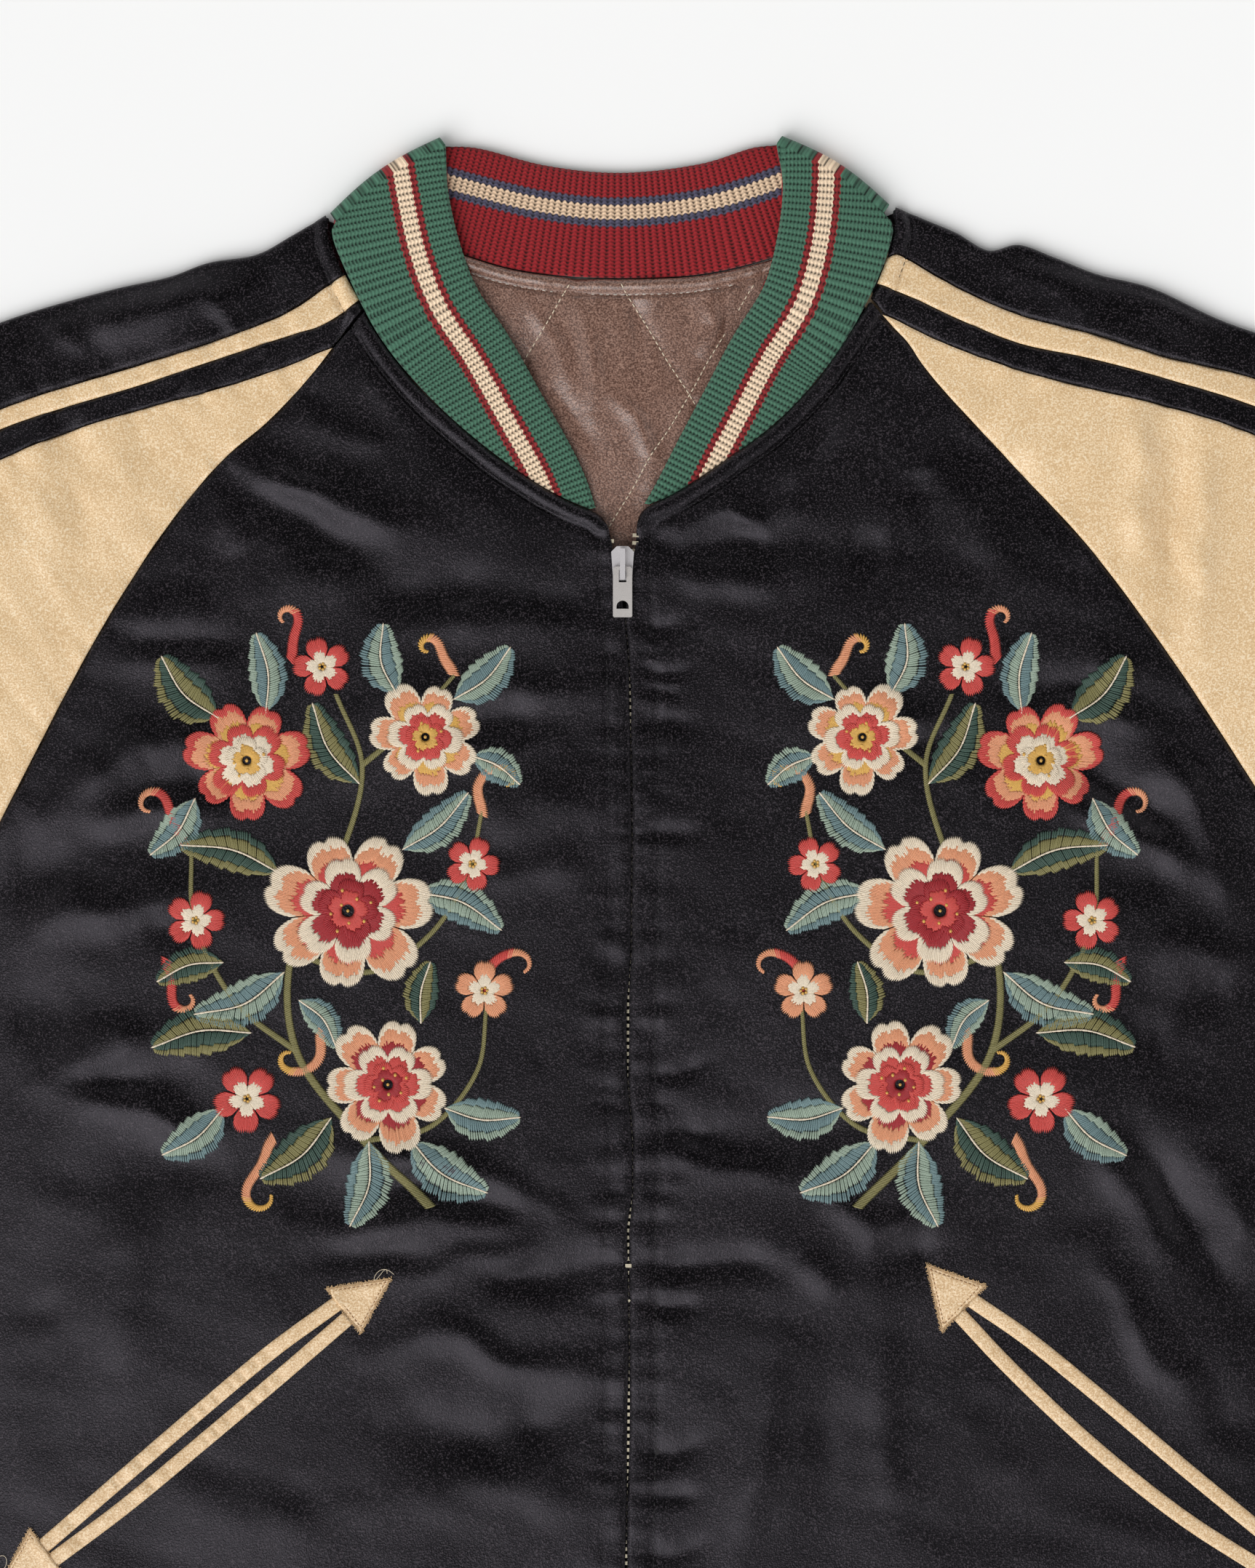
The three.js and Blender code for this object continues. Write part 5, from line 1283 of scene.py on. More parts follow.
def hem():
    """The hem's band from the zip round the right side, across the back and round the left side."""
    radius = RIB_TUBE_HEIGHT / 2
    wrap = radius - DOUBLE_RIB_WALL
    y = np.linspace(HEM_SEAM_Y - 0.6, HEM_END_Y, 25)
    drop = (y[0] - y) / (y[0] - y[-1])
    ends = {"right": -272 + 8 * drop, "left": 284 - 8 * drop}
    turned = turned_edges(y, y[0], HEM_END_Y)
    face, lining = [], []

    def add_line(outer_x, outer_z, inner_x, inner_z):
        face.append(np.column_stack([outer_x, y, outer_z + 0 * y]))
        lining.append(np.column_stack([inner_x, y, inner_z + 0 * y]))

    def front_lines(side):
        start = SLIT[-1][1] + AWAY[side] * HEM_TO_ZIP
        fold = ends[side] - AWAY[side] * radius
        width = abs(fold[0] - start)
        shares = np.linspace(0, 1, 7 * round(width / WIDE_RIB_PITCH) + 1)
        for share in shares[::-AWAY[side]]:
            x = start + (fold - start) * share
            wave = rib_wave(share * width) + 0.25 * hills(x, y * 0.4, 31, 81)
            add_line(x, RIB_TUBE_HEIGHT + wave + turned, x, RIB_TUBE_HEIGHT - DOUBLE_RIB_WALL)

    def turn_lines(side, angles):
        at = ends[side] - AWAY[side] * radius
        for angle in np.radians(angles):
            reach, rise = AWAY[side] * cos(angle), sin(angle)
            add_line(at + radius * reach, radius + radius * rise, at + wrap * reach, radius + wrap * rise)

    front_lines("right")
    turn_lines("right", TURN_ANGLES)
    for share in np.linspace(0, 1, 61):
        x = ends["right"] + radius + (ends["left"] - ends["right"] - 2 * radius) * share
        add_line(x, 0, x, DOUBLE_RIB_WALL)
    turn_lines("left", TURN_ANGLES[::-1])
    front_lines("left")
    face, lining = np.array(face), np.array(lining)
    travel = travelled(face[:, 12, :2])[:, None]
    knit = np.dstack([y - HEM_END_Y + 0 * travel, travel + 0 * y])
    piece = shell("hem_rib", face, lining, uv=knit / 1000)
    return finish_piece(piece, wide_rib, "green_rib", "hem_rib", HEM_CUT, "back")

# %% Cuffs
def cuff(side):
    """One cuff: a flattened tube on the end of the sleeve, ribbed on its upper side."""
    outside = np.array(SLEEVE_CURVES[side]["shoulder"][-1])
    inside = np.array(SLEEVE_CURVES[side]["underarm"][-1])
    span = np.linalg.norm(inside - outside)
    across = (inside - outside) / span
    down = -AWAY[side] * np.array([across[1], -across[0]])
    margin, radius = (span - CUFF_WIDTH) / 2, RIB_TUBE_HEIGHT / 2
    wrap = radius - DOUBLE_RIB_WALL
    reach = np.linspace(0.6, CUFF_LENGTH, 25)
    turned = turned_edges(reach, 0.6, CUFF_LENGTH)
    flat = CUFF_WIDTH - 2 * radius

    def turn(centre, angles):
        c, s = np.cos(np.radians(angles)), np.sin(np.radians(angles))
        ring = (centre + radius * c, radius * (1 + s), centre + wrap * c, radius + wrap * s, 0 * c)
        return list(zip(*ring))

    inner_top = RIB_TUBE_HEIGHT - DOUBLE_RIB_WALL
    profile = []
    for at in np.linspace(0, flat, 7 * round(flat / WIDE_RIB_PITCH) + 1):
        profile.append((radius + at, RIB_TUBE_HEIGHT + rib_wave(at), radius + at, inner_top, 1))
    profile += turn(CUFF_WIDTH - radius, TURN_ANGLES)
    profile += [(at, 0, at, DOUBLE_RIB_WALL, 0) for at in np.linspace(CUFF_WIDTH - radius, radius, 13)]
    profile += turn(radius, [-120, -150, 180, 150, 120])
    face, lining, knit = [], [], []
    travel = 0.0
    for k, (at, z, inner_at, inner_z, shown) in enumerate(profile):
        base = outside + down * reach[:, None]
        face.append(np.column_stack([base + across * (margin + at), z + turned * shown]))
        lining.append(np.column_stack([base + across * (margin + inner_at), inner_z + 0 * reach]))
        travel += np.hypot(at - profile[k - 1][0], z - profile[k - 1][1]) if k else 0
        knit.append(np.column_stack([CUFF_LENGTH - reach, 0 * reach + (at if shown else travel)]) / 1000)
    name = f"cuff_{side}"
    piece = shell(name, np.array(face), np.array(lining), stride=3, uv=np.array(knit), ring=True)
    return finish_piece(piece, wide_rib, "green_rib", name, CUFF_CUT, "back")

knitted = [hem(), *[cuff(side) for side in SIDES]]
print("hem and cuffs:", [len(piece.data.polygons) for piece in knitted], "faces")

# %% [markdown]
# ## Pockets
# Each pocket is a slanted slit between two gold welts, with a gold arrow patch at both ends. The
# welts are rounded strips laid on the front's own height; the patches have slightly worn edges.

# %% Pocket pieces
LEAST_WELT = 0.35
ARROW_CUT = (0.026, 0.026)

def on_front(side, x, y):
    """The height of the front's cloth under something sewn to it."""
    return front_height(side, x, y) + 0.12

def sewn_on(side, kind, plane, top, low, flat):
    """A piece of gold satin on a front."""
    name = f"pocket_{side}_{kind}"
    piece = shell(name, lift(plane, top), lift(plane, low), stride=2, uv=lay_uv(plane))
    return finish_piece(piece, welt_satin, "gold_satin", name, flat, f"front_{side}")

def welt(side, where):
    """One gold strip beside the pocket's slit."""
    count, columns, width = 150, 10, 6.4
    line = smooth(POCKET[side][where], np.linspace(0, 1, count + 1))
    line[0] += (line[0] - line[4]) * 1.1
    line[-1] += (line[-1] - line[-5]) * 1.1
    line = smooth(line, np.linspace(0, 1, count + 1))
    across = np.linspace(-width / 2, width / 2, columns + 1)
    plane = line[:, None, :] + square_to(directions(line))[:, None, :] * across[None, :, None]
    length = np.linspace(0, path_length(line), count + 1)[:, None] + 0 * across[None, :]
    low = on_front(side, plane[..., 0], plane[..., 1])
    round_edge = 1 - np.abs(2 * across / width) ** 5
    top = low + LEAST_WELT + 0.9 * round_edge[None, :]
    top += 0.42 * hills(length, across[None, :] * 0.25 + 0 * length, 5, 91)
    crossing = hills(length, across[None, :] * 0.2 + 0 * length, 7, 97 if side == "right" else 98)
    top -= 0.8 * np.exp(-(crossing / 0.14) ** 2) * round_edge[None, :]
    top = np.maximum(top, low + LEAST_WELT)
    return sewn_on(side, f"{where}_welt", plane, top, low, (NARROWEST_SHEET, path_length(line) / 1000))

def arrow(side, where, corners):
    """A three-cornered patch with rounded, slightly frayed edges."""
    tip, first, second = (np.array(corner) for corner in corners)
    rows, columns = 30, 22
    t = np.linspace(0.03, 1, rows + 1)[:, None, None]
    s = np.linspace(0, 1, columns + 1)[None, :, None]
    plane = tip + (first - tip) * t * (1 - s) + (second - tip) * t * s
    centre = (tip + first + second) / 3
    fray = 1 + 0.012 * hills(plane[..., 0] * 3, plane[..., 1] * 3, 3, 92)
    plane = centre + (plane - centre) * fray[..., None]
    x, y = plane[..., 0], plane[..., 1]
    from_edge = near_line(x, y, [tip, first, second, tip])[0]
    low = on_front(side, x, y)
    pressed = 1 - np.exp(-(from_edge / 0.7) ** 2)
    stitched = -0.35 * np.exp(-((from_edge - 1.5) / 0.45) ** 2)
    nearest = np.minimum(*[near_line(x, y, POCKET[side][strip])[0] for strip in ("upper", "lower")])
    over = 1.3 * np.exp(-(nearest / 5) ** 4)
    top = low + LEAST_WELT + 0.8 * pressed + stitched + over + 0.22 * hills(x, y, 5, 93)
    return sewn_on(side, f"{where}_arrow", plane, top, low, ARROW_CUT)

for side in SIDES:
    for where in ("upper", "lower"):
        welt(side, where)
    for where, corners in zip(("inner", "outer"), POCKET[side]["arrows"]):
        arrow(side, where, corners)
print("pocket pieces:", sum("pocket" in piece.name for piece in PIECES))

# %% [markdown]
# ## Stitches and teeth
# A seam's stitches are one bead repeated along a line, so Geometry Nodes place them: the line is
# cut into even steps, a bead is put on each and turned along it. Zip teeth are made the same way.

# %% A tree that repeats a bead along a line
def new_group(name, *sizes):
    """A node tree with named sizes and a seed, and the outputs that hold what it is given."""
    tree = bpy.data.node_groups.new(name, "GeometryNodeTree")
    kinds = [("Geometry", "Geometry"), *[(size, "Float") for size in sizes], ("Seed", "Int")]
    for label, kind in kinds:
        tree.interface.new_socket(label, in_out="INPUT", socket_type=f"NodeSocket{kind}")
    tree.interface.new_socket("Geometry", in_out="OUTPUT", socket_type="NodeSocketGeometry")
    return tree, node(tree, "NodeGroupInput").outputs

def chance(tree, seed, share):
    """A random number about 0, up to half the share either way."""
    drawn = node(tree, "FunctionNodeRandomValue", {"Seed": seed}, data_type="FLOAT")
    return math(tree, "MULTIPLY", math(tree, "SUBTRACT", drawn.outputs[1], 0.5), share)

def put_beads(tree, finish, points, bead, rotation, size, round_bead=True):
    """Ends a tree with a bead on each point, turned and sized, as plain faces."""
    size = node(tree, "ShaderNodeCombineXYZ", dict(zip("XYZ", size)))
    placed = node(tree, "GeometryNodeInstanceOnPoints", {
        "Points": points, "Instance": bead, "Rotation": rotation,
        "Scale": scaled(tree, size.outputs[0], 0.5),
    })
    real = node(tree, "GeometryNodeRealizeInstances", {"Geometry": placed.outputs[0]})
    shade = {"Geometry": real.outputs[0], "Shade Smooth": round_bead}
    smooth_faces = node(tree, "GeometryNodeSetShadeSmooth", shade)
    dressed = node(tree, "GeometryNodeSetMaterial", {
        "Geometry": smooth_faces.outputs[0], "Material": finish,
    })
    node(tree, "NodeGroupOutput", {"Geometry": dressed.outputs[0]})

def bead_tree(name, finish, square=False):
    """Nodes that put a bead at each step of a line, with named sizes."""
    tree, given = new_group(name, "Step", "Length", "Width", "Height", "Unevenness")
    line = node(tree, "GeometryNodeMeshToCurve", {"Mesh": given["Geometry"]}).outputs[0]
    cut = {"Curve": line, "Length": given["Step"]}
    steps = node(tree, "GeometryNodeResampleCurve", cut, mode="LENGTH")
    tangent = {"Vector": node(tree, "GeometryNodeInputTangent").outputs[0]}
    along = node(tree, "FunctionNodeAlignRotationToVector", tangent, axis="X", pivot_axis="Z")
    spin = node(tree, "ShaderNodeCombineXYZ", {"Z": chance(tree, given["Seed"], given["Unevenness"])})
    turns = {"Rotation": along.outputs[0], "Rotate By": spin.outputs[0]}
    turned = node(tree, "FunctionNodeRotateRotation", turns, rotation_space="LOCAL")
    if square:
        bead = node(tree, "GeometryNodeMeshCube", {"Size": (2, 2, 2)})
    else:
        bead = node(tree, "GeometryNodeMeshUVSphere", {"Segments": 6, "Rings": 3, "Radius": 1.0})
    size = [given[label] for label in ("Length", "Width", "Height")]
    put_beads(tree, finish, steps.outputs[0], bead.outputs[0], turned.outputs[0], size, not square)
    return tree

def run_tree(piece, tree, values):
    """Lets a tree work on a piece with the given sizes, and keeps what it made as a plain mesh."""
    made = piece.modifiers.new("repeat", "NODES")
    made.node_group = tree
    for socket in tree.interface.items_tree:
        if socket.in_out == "INPUT" and socket.name in values:
            made[socket.identifier] = values[socket.name]
    depsgraph = bpy.context.evaluated_depsgraph_get()
    finished = bpy.data.meshes.new_from_object(piece.evaluated_get(depsgraph))
    piece.modifiers.clear()
    piece.data = finished
    return keep(piece)

def repeat_along(name, lines, tree, sizes, seed):
    """A piece made of beads along several lines of points in millimetres."""
    points, edges = [], []
    for line in lines:
        first = len(points)
        points += [tuple(point) for point in (np.asarray(line, float) + (0, CHEST, 0)) / 1000]
        edges += [(k, k + 1) for k in range(first, len(points) - 1)]
    path = bpy.data.meshes.new(name)
    path.from_pydata(points, edges, [])
    *lengths, unevenness = sizes
    values = dict(zip(("Step", "Length", "Width", "Height"), (size / 1000 for size in lengths)))
    values |= {"Unevenness": unevenness, "Seed": seed}
    return run_tree(new_object(name, path), tree, values)

black_bead = bead_tree("black_stitch", black_thread)
cream_bead = bead_tree("cream_stitch", cream_thread)
brown_bead = bead_tree("brown_stitch", brown_thread)
fray_bead = bead_tree("fray", gold_thread, square=True)
white_bead = bead_tree("white_stitch", white_thread)
tooth_bead = bead_tree("zip_tooth", tooth_metal, square=True)
print("bead trees:", len(bpy.data.node_groups))

# %% Seams that are stitched through
def offset_line(line, distance):
    """A line beside another one; a distance above zero lies on its left."""
    return line + square_to(directions(line)) * distance

def laid(line, height, rise):
    """A line's points with their height over the table."""
    return np.column_stack([line, height(line[:, 0], line[:, 1]) + rise])

def front_of(side):
    """The function that gives one front's height."""
    return lambda x, y: front_height(side, x, y)

def black_seams():
    """Topstitching in black thread: beside the collar, on the sleeve's end and down the zip."""
    lines = []
    for side in SIDES:
        away = AWAY[side]
        neck = zip_edge(side)
        neck = smooth(neck[(neck[:, 1] > 113) & (neck[:, 1] < 196)], np.linspace(0, 1, 140))
        lines.append(laid(offset_line(neck, 7.9 * away), front_of(side), 0.15))
        beside = offset_line(collar_seam(side), -7.9 * away)[58:76]
        lines.append(laid(beside, face_height, 0.15 - 1.4))
        y = np.linspace(104, HEM_SEAM_Y + 2, 420)
        row = np.column_stack([slit_line(y) + away * ZIP_STITCHES[side], y])
        lines.append(laid(row, front_of(side), 0.12))
    sizes = (2.9, 2.5, 0.5, 0.45, 0.08)
    return repeat_along("black_topstitching", lines, black_bead, sizes, 3)

def quilting():
    """Cream thread across the lining along both slanting grids."""
    lines = []
    for sign in (-1, 1):
        for row in (-1, 0, 1, 2):
            y = np.linspace(104, 213, 90)
            x = QUILT_CROSSING[0] + row * QUILT_PITCH - sign * (y - QUILT_CROSSING[1]) * QUILT_SLOPE
            x = x + 0.8 * hills(y, 0 * y + row, 14, 94)
            left, right = lining_sides(y)
            inside = (x > left + 1) & (x < right - 1) & (y < back_neck(x) - 1)
            if inside.sum() > 3:
                lines.append(laid(np.column_stack([x, y])[inside], lining_height, 0.1))
    sizes = (2.7, 2.5, 0.62, 0.5, 0.06)
    return repeat_along("quilting_thread", lines, cream_bead, sizes, 4)

def neck_row():
    """The row of white stitches under the roll of the back neck."""
    x = np.linspace(-84, 74, 200)
    row = laid(np.column_stack([x, back_neck(x) - 6.9]), lining_height, 0.12)
    return repeat_along("neck_stitching", [row], white_bead, (3.1, 2.5, 0.5, 0.42, 0.06), 5)

def patch_rings(share, steps, rise):
    """A ring of points round each arrow patch, drawn in to a share of its size."""
    rings = []
    for side in SIDES:
        for corners in POCKET[side]["arrows"]:
            corners = np.array(corners)
            ring = corners.mean(axis=0) + (corners - corners.mean(axis=0)) * share
            ring = np.vstack([ring, ring[:1]])
            between = np.linspace(0, 1, steps)[:, None]
            dense = np.vstack([ring[k] + (ring[k + 1] - ring[k]) * between for k in range(3)])
            rings.append(laid(dense, front_of(side), rise))
    return rings

def patch_stitches():
    """Brown stitches inside each arrow patch's edge, and loose ends of thread all round it."""
    stitched, frayed = patch_rings(0.8, 12, 1.07), patch_rings(1.0, 40, 1.02)
    sizes, fray_sizes = (1.9, 1.5, 0.42, 0.4, 0.15), (0.42, 1.9, 0.17, 0.17, 6.0)
    return (
        repeat_along("patch_stitching", stitched, brown_bead, sizes, 6),
        repeat_along("patch_frays", frayed, fray_bead, fray_sizes, 8),
    )

def loose_threads():
    """Two looped thread ends at the patches of the right pocket."""
    lines = []
    for middle, size, turn in (((-104, -209), 4.5, 0.4), ((-272, -333), 7.0, 2.6)):
        t = np.linspace(0, 5.2, 60)
        loop = np.column_stack([np.cos(t + turn) * (0.4 + 0.16 * t), np.sin(1.7 * t + turn) * 0.5]) * size
        lines.append(laid(loop + middle, front_of("right"), 1.12))
    return repeat_along("loose_threads", lines, cream_bead, (0.5, 0.8, 0.3, 0.3, 0.1), 9)

stitches = [black_seams(), quilting(), neck_row(), *patch_stitches(), loose_threads()]
print("stitching:", {piece.name: len(piece.data.polygons) for piece in stitches})

# %% [markdown]
# ## The zip
# The tapes, the slider and the tab keep their solid shape and only get a finish. The teeth are
# beads on a line again: they show where the fronts gape a little, and beside the slider, where
# the zip opens.

# %% Zip
def dress(node_name, finish):
    """Gives a solid that keeps its shape its finish."""
    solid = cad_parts[node_name]
    for slot in solid.material_slots:
        slot.material = finish

def zip_teeth():
    """The closed row of teeth under the fronts' edges and a few open ones beside the slider."""
    y = np.linspace(72, HEM_SEAM_Y + 4, 240)
    closed = np.column_stack([slit_line(y), y, 0 * y + ZIP_TOP - 1.9])
    lines = [closed]
    for x, low, high, top in ((-7.4, 99.2, 103.6, 9.9), (3.2, 99.4, 106.0, 9.9)):
        lines.append(np.column_stack([[x, x + 0.3], [low, high], [top, top]]))
    return repeat_along("zip_teeth", lines, tooth_bead, (3.0, 1.5, 2.6, 1.1, 0.05), 7)

dress("zip_tape_right", tape_weave)
dress("zip_tape_left", tape_weave)
# The slider takes the zinc whose colour paints in its reflection.
dress("zip_slider", crown_zinc_painted_light)
dress("zip_pull_tab", tab_metal)
print("teeth:", len(zip_teeth().data.polygons), "faces")

# %% [markdown]
# ## Embroidery
# Both fronts carry a spray of flowers in rayon thread. Satin stitch lays threads side by side
# across a shape, so a petal, a leaf or a stem is a fan of threads, each with two ends, a colour
# and a place in the pile. Geometry Nodes then put one plump thread on each of them. Drawing the
# same threads as a painted pattern would lose their relief and the way each one catches light.

# %% Thread colours
THREAD = {
    "cream": (230, 215, 192),
    "peach": (222, 156, 118),
    "coral": (202, 78, 72),
    "crimson": (160, 42, 48),
    "gold": (216, 170, 88),
    "sage": (152, 168, 152),
    "slate": (112, 136, 138),
    "forest": (62, 84, 74),
    "olive": (132, 126, 82),
}
FLORAL_MIRROR = 14.0
PITCH = 0.82
print("thread colours:", ", ".join(THREAD))

# %% Shapes made of threads
def threads(starts, ends, colour, lift, plump=1.0):
    """Rows of one thread each: both ends, lift, plumpness and colour."""
    starts, ends = np.atleast_2d(starts), np.atleast_2d(ends)
    red, green, blue, _ = tone(*THREAD[colour])
    fixed = np.tile([lift, plump, red, green, blue], (len(starts), 1))
    return np.hstack([starts, ends, fixed])

def turned_by(degrees_round):
    """The direction at an angle from the x axis."""
    angle = np.radians(degrees_round)
    return np.stack([np.cos(angle), np.sin(angle)], axis=-1)

def petal(centre, heading, inner, outer, spread, tiers, lift, seed):
    """A petal: tiers of threads from the middle out, with uneven ends where two colours meet."""
    count = max(6, int(2 * np.radians(spread) * outer / PITCH))
    u = np.linspace(-1, 1, count)
    rim = outer * (1 - 0.3 * np.abs(u) ** 3.2 - 0.05 * np.exp(-(u / 0.12) ** 2))
    ragged = np.random.default_rng(seed).uniform(-0.07, 0.07, (len(tiers) + 1, count))
    way = turned_by(heading + spread * u)
    rows = []
    for k, (low, high, colour) in enumerate(tiers):
        first = inner + (rim - inner) * np.clip(low + ragged[k] * (low > 0), 0, 1)
        last = inner + (rim - inner) * np.clip(high + ragged[k + 1] * (high < 1) + 0.04, 0, 1)
        rows.append(threads(
            centre + way * first[:, None], centre + way * last[:, None], colour, lift + 0.07 * k,
        ))
    return rows

def blossom(centre, outer, colours, seed):
    """A full flower: three rings of petals, each smaller and higher, and knots in the middle."""
    centre = np.array(centre, float)
    rim, middle, heart = colours
    rings = (
        (7, 1.0, 0.36, [(0, 0.5, middle), (0.42, 0.8, "peach"), (0.72, 1, rim)], 0.55),
        (6, 0.66, 0.2, [(0, 0.6, heart), (0.52, 1, rim)], 0.85),
        (5, 0.38, 0.08, [(0, 0.55, middle), (0.5, 1, heart)], 1.15),
    )
    rows = []
    for ring, (count, far, near, tiers, lift) in enumerate(rings):
        for k in range(count):
            heading = 360 * (k + 0.5 * ring + 0.13 * seed) / count
            sized = outer * far * (1 + 0.07 * sin(seed + 2.1 * k))
            raised = lift + 0.04 * (k % 2)
            rows += petal(centre, heading, outer * near, sized, 168 / count, tiers, raised, seed + k)
    knots = centre + turned_by(np.arange(9) * 137.5) * (0.35 * outer * 0.3 * np.sqrt(np.arange(9)))[:, None]
    rows.append(threads(knots - (0.45, 0), knots + (0.45, 0), "gold", 1.5, 1.5))
    return rows

def small_flower(centre, outer, colour, seed):
    """A flat flower of five petals."""
    centre = np.array(centre, float)
    rows = []
    for k in range(5):
        tiers = [(0, 0.5, "cream"), (0.4, 1, colour)]
        rows += petal(centre, 72 * k + 17 * seed, 1.2, outer, 30, tiers, 0.6, seed + k)
    knots = centre + turned_by(np.arange(5) * 72.0) * 1.2
    rows.append(threads(knots - (0.4, 0), knots + (0.4, 0), "gold", 0.95, 1.3))
    return rows

def leaf(base, tip, width, bend, colours, lift=0.45):
    """A toothed leaf: threads slant forward from its rib to both edges, with a raised rib."""
    base, tip = np.array(base, float), np.array(tip, float)
    run = tip - base
    middle = (base + tip) / 2 + np.array([-run[1], run[0]]) / np.linalg.norm(run) * bend
    spine = smooth([base, middle, tip], np.linspace(0, 1, 121))
    along = np.linspace(0.02, 0.97, int(np.linalg.norm(run) / PITCH))
    way = directions(spine)
    rows = []
    for sign, (inside, outside) in ((1, colours), (-1, colours[::-1])):
        toothed = 1 + 0.2 * (1 - (along * 6) % 1)
        half = width / 2 * np.sin(pi * along ** 0.8) ** 0.75 * toothed
        at = (along * 120).astype(int)
        ahead = np.minimum(at + 9, 120)
        foot = spine[at]
        edge = spine[ahead] + square_to(way[ahead]) * (sign * half)[:, None]
        share = 0.58
        rows.append(threads(foot, foot + (edge - foot) * (share + 0.08), inside, lift))
        rows.append(threads(foot + (edge - foot) * share, edge, outside, lift - 0.05))
    rib = spine[::6]
    rows.append(threads(rib[:-1], rib[1:] + (rib[1:] - rib[:-1]) * 0.3, "cream", lift + 0.35, 0.8))
    return rows

def stem(points, wide, narrow, colour, lift=0.3):
    """A stem or a tendril: short threads laid slanting across its path."""
    length = path_length(smooth(points, np.linspace(0, 1, 80)))
    count = int(length / PITCH)
    line = smooth(points, np.linspace(0, 1, count))
    way = directions(line)
    across = square_to(way) + 0.55 * way
    half = np.linspace(wide, narrow, count)[:, None] / 2
    return [threads(line - across * half, line + across * half, colour, lift)]

def curl(base, heading, length, winding, colours):
    """A tendril that winds tighter towards its end, in two colours."""
    travel = np.linspace(0, 1, 40)
    angle = np.radians(heading) + 0.5 * np.sin(travel * 9) * (1 - travel) + winding * travel ** 3
    steps = np.column_stack([np.cos(angle), np.sin(angle)]) * length / 40
    path = np.array(base, float) + np.cumsum(steps, axis=0)
    return stem(path[:27:2], 5.2, 4.0, colours[0]) + stem(path[25::2], 4.0, 1.2, colours[1])

sample = leaf((0, 0), (30, 0), 12, 2, ("sage", "slate"))
print("a 30 mm leaf has", sum(len(row) for row in sample), "threads")

# %% The spray of flowers, drawn for the wearer's right front
STEMS = [
    ([(-84, -180), (-112, -152), (-141, -114), (-143, -72), (-122, -30), (-113, 8), (-124, 38)], 4.2, 1.8),
    ([(-141, -114), (-166, -94), (-184, -60), (-186, -26)], 2.8, 1.6),
    ([(-143, -72), (-110, -80), (-84, -64), (-68, -38), (-62, -12)], 2.8, 1.6),
    ([(-112, -152), (-84, -146), (-64, -122), (-60, -94)], 2.6, 1.5),
    ([(-113, 8), (-94, 24), (-74, 46)], 2.6, 1.5),
]
BLOSSOMS = [
    ((-119, -54), 35, ("cream", "coral", "crimson"), 1),
    ((-162, 10), 26, ("coral", "gold", "cream"), 2),
    ((-86, 20), 24, ("cream", "gold", "coral"), 3),
    ((-102, -128), 28, ("cream", "crimson", "coral"), 4),
]
SMALL_FLOWERS = [
    ((-184, -58), 13, "coral"), ((-61, -88), 13, "peach"), ((-130, 50), 13, "coral"),
    ((-162, -134), 15, "coral"), ((-66, -34), 12, "coral"),
]
LEAVES = [
    ((-146, -80), (-184, -98), 13, 5), ((-148, -38), (-190, -26), 12, -4), ((-90, -46), (-54, -62), 12, 4),
    ((-96, -28), (-68, -4), 11, -3), ((-114, 0), (-134, 34), 12, 4), ((-74, 36), (-50, 58), 12, -3),
    ((-98, 38), (-104, 68), 12, 4), ((-174, 28), (-198, 54), 14, 4), ((-154, 30), (-158, 64), 11, -3),
    ((-184, -6), (-203, -30), 11, 3), ((-126, -142), (-156, -168), 14, 4),
    ((-92, -152), (-60, -174), 14, -4),
    ((-78, -138), (-46, -142), 12, -3), ((-88, -102), (-84, -76), 10, 2),
    ((-110, -152), (-118, -188), 13, 4),
    ((-172, -138), (-198, -158), 12, 3), ((-160, -106), (-202, -112), 14, -4), ((-66, 12), (-46, 0), 10, 2),
    ((-140, -92), (-124, -112), 9, 3), ((-172, -76), (-200, -84), 10, -3),
]
CURLS = [
    ((-188, -28), 96, 44, 4.5), ((-62, -14), 84, 40, -4.5), ((-58, -96), 84, 44, -4.0),
    ((-150, -150), 226, 46, 4.0), ((-144, 52), 62, 34, 4.5), ((-130, -104), 250, 40, -4.5),
    ((-196, -74), 262, 34, 4.0), ((-74, 46), 100, 30, 4.5),
]

def spray():
    """All threads of the spray, in the wearer's right front."""
    rows = []
    for points, wide, narrow in STEMS:
        rows += stem(points, wide, narrow, "olive")
    for number, (base, heading, length, winding) in enumerate(CURLS):
        shades = (("coral", "peach"), ("peach", "gold"))[number % 2]
        rows += curl(base, heading, length, winding, shades)
    for number, (base, tip, width, bend) in enumerate(LEAVES):
        shades = (("sage", "slate"), ("forest", "olive"), ("slate", "sage"))[number % 3]
        rows += leaf(base, tip, width * 1.35, bend, shades)
    for number, (centre, outer, colour) in enumerate(SMALL_FLOWERS):
        rows += small_flower(centre, outer, colour, number)
    for centre, outer, colours, seed in BLOSSOMS:
        rows += blossom(centre, outer, colours, seed)
    return np.vstack(rows)

SPRAY = spray()
print("threads on each front:", len(SPRAY))

# %% [markdown]
# ## Laying the threads
# A point carries each thread's direction, length and colour as attributes. The tree puts a
# slender bead on it. The colour stays on the mesh after the beads are realised, so one finish
# serves all colours.

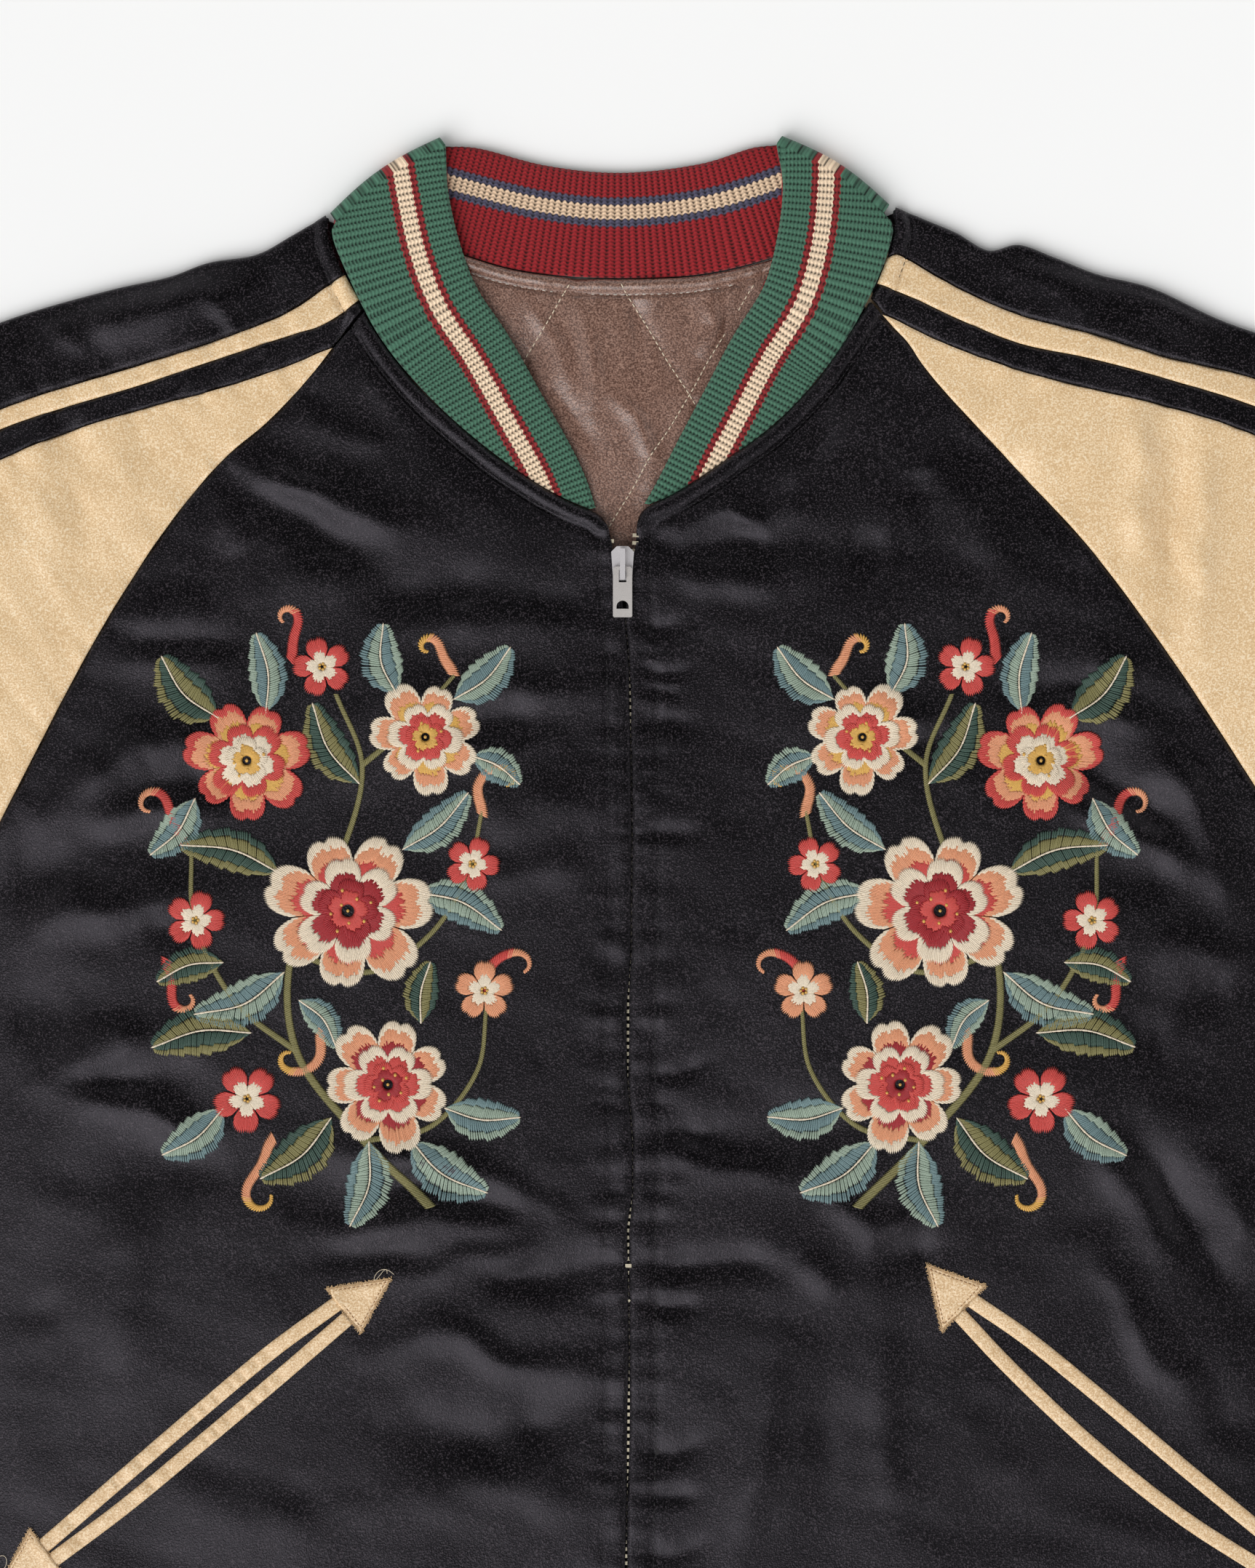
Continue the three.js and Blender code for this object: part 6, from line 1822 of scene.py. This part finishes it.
# %% Thread finish and tree
def rayon():
    """Shiny thread that takes its colour from the mesh."""
    finish, tree, shader = new_finish("rayon_thread")
    own = node(tree, "ShaderNodeAttribute", attribute_name="thread_colour", attribute_type="GEOMETRY")
    strands = noise(tree, where_on(tree), 1700, 2.0, 0.6)
    shade = math(tree, "MULTIPLY_ADD", strands, 0.7, 0.64)
    tree.links.new(scaled(tree, own.outputs["Color"], shade), shader.inputs["Base Color"])
    shader.inputs["Roughness"].default_value = 0.5
    shader.inputs["Specular IOR Level"].default_value = 0.4
    bumps(tree, shader, (strands, 0.00012))
    return finish

def thread_tree(finish):
    """Nodes that lay a plump thread on each point, with named sizes."""
    tree, given = new_group("laid_thread", "Width", "Height", "Unevenness")

    def own(name, kind="FLOAT"):
        return node(tree, "GeometryNodeInputNamedAttribute", {"Name": name}, data_type=kind).outputs[0]

    uneven = chance(tree, given["Seed"], given["Unevenness"])
    fuller = math(tree, "MULTIPLY", own("plump"), math(tree, "ADD", uneven, 1.0))
    bead = node(tree, "GeometryNodeMeshUVSphere", {"Segments": 4, "Rings": 3, "Radius": 1.0}).outputs[0]
    lying = node(tree, "GeometryNodeTransform", {"Geometry": bead, "Rotation": (0, pi / 2, 0)}).outputs[0]
    thickness = [math(tree, "MULTIPLY", given[label], fuller) for label in ("Width", "Height")]
    turn = own("turn", "FLOAT_VECTOR")
    put_beads(tree, finish, given["Geometry"], lying, turn, [own("length"), *thickness])
    return tree

THREAD_SIZES = {"Width": 0.0011, "Height": 0.0008, "Unevenness": 0.3, "Seed": 11}

def embroider(side, tree):
    """The spray on one front, laid on the cloth's own height."""
    rows = SPRAY.copy()
    if side == "left":
        rows[:, [0, 2]] = FLORAL_MIRROR - rows[:, [0, 2]]
    starts, ends = rows[:, 0:2], rows[:, 2:4]
    ground = [front_height(side, end[:, 0], end[:, 1]) for end in (starts, ends)]
    run = ends - starts
    rise = ground[1] - ground[0]
    length = np.sqrt((run ** 2).sum(axis=1) + rise ** 2)
    middle = np.column_stack([(starts + ends) / 2, (ground[0] + ground[1]) / 2 + rows[:, 4]])
    pitch = -np.arctan2(rise, np.hypot(run[:, 0], run[:, 1]))
    turn = np.column_stack([0 * rise, pitch, np.arctan2(run[:, 1], run[:, 0])])
    name = f"embroidery_{side}"
    cloud = bpy.data.meshes.new(name)
    cloud.from_pydata(((middle + (0, CHEST, 0)) / 1000).tolist(), [], [])
    colour = np.column_stack([rows[:, 6:9], np.ones(len(rows))])
    for label, kind, field, values in (
        ("turn", "FLOAT_VECTOR", "vector", turn),
        ("length", "FLOAT", "value", (length + 0.5) / 1000),
        ("plump", "FLOAT", "value", rows[:, 5]),
        ("thread_colour", "FLOAT_COLOR", "color", colour),
    ):
        layer = cloud.attributes.new(label, kind, "POINT")
        layer.data.foreach_set(field, np.asarray(values, np.float32).ravel())
    piece = run_tree(new_object(name, cloud), tree, THREAD_SIZES)
    for label in ("turn", "length", "plump"):
        if label in piece.data.attributes:
            piece.data.attributes.remove(piece.data.attributes[label])
    return piece

laid_thread = thread_tree(rayon())
sprays = [embroider(side, laid_thread) for side in SIDES]
print("embroidery:", [len(piece.data.polygons) for piece in sprays], "faces")

# %% [markdown]
# ## Floor and light
# A pale table, a soft wide light from the lower left and soft light all round at the sides. The
# sky above runs from dim at the upper right to bright at the lower left: satin mirrors it, so
# slopes that face the light shine softly and those that face away fall into deep black.

# %% Floor and light
def floor():
    """A plain pale table."""
    size = 3.0
    corners = [(x * size, y * size, -0.0002) for x, y in ((-1, -1), (1, -1), (1, 1), (-1, 1))]
    mesh = bpy.data.meshes.new("table")
    mesh.from_pydata(corners, [], [(0, 1, 2, 3)])
    finish, tree, shader = new_finish("table_white")
    shader.inputs["Base Color"].default_value = (0.97, 0.97, 0.965, 1)
    shader.inputs["Roughness"].default_value = 0.9
    shader.inputs["Specular IOR Level"].default_value = 0.1
    mesh.materials.append(finish)
    new_object("table", mesh)

def grey(level):
    """A grey for light."""
    return (level, level, level, 1)

def lights():
    """One wide sun and soft light from all sides."""
    sun = new_object("sun", bpy.data.lights.new("sun", "SUN"))
    sun.data.energy = 1.95
    sun.data.angle = radians(50)
    sun.rotation_euler = (radians(36), radians(-24), 0)
    world = bpy.data.worlds.new("studio")
    bpy.context.scene.world = world
    world.use_nodes = True
    tree = world.node_tree
    background = tree.nodes["Background"]
    way = node(tree, "ShaderNodeTexCoord")
    up = node(tree, "ShaderNodeSeparateXYZ", {"Vector": way.outputs["Generated"]})
    lean = math(tree, "MULTIPLY_ADD", up.outputs["X"], 0.5, up.outputs["Y"])
    lean = math(tree, "MULTIPLY_ADD", lean, -0.6, 0.5)
    above = ramp(tree, lean, [(0.3, grey(0.02)), (0.5, grey(0.3)), (0.72, grey(0.6))])
    low = ramp(tree, up.outputs["Z"], [(0.5, grey(1.0)), (0.72, grey(0.0))])
    tree.links.new(blend(tree, low, above, grey(0.84)), background.inputs["Color"])

floor()
lights()
bpy.context.scene.view_settings.view_transform = "Standard"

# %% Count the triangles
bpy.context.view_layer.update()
triangles = sum(len(face.vertices) - 2 for piece in PIECES for face in piece.data.polygons)
print("pieces", len(PIECES), "triangles", triangles)
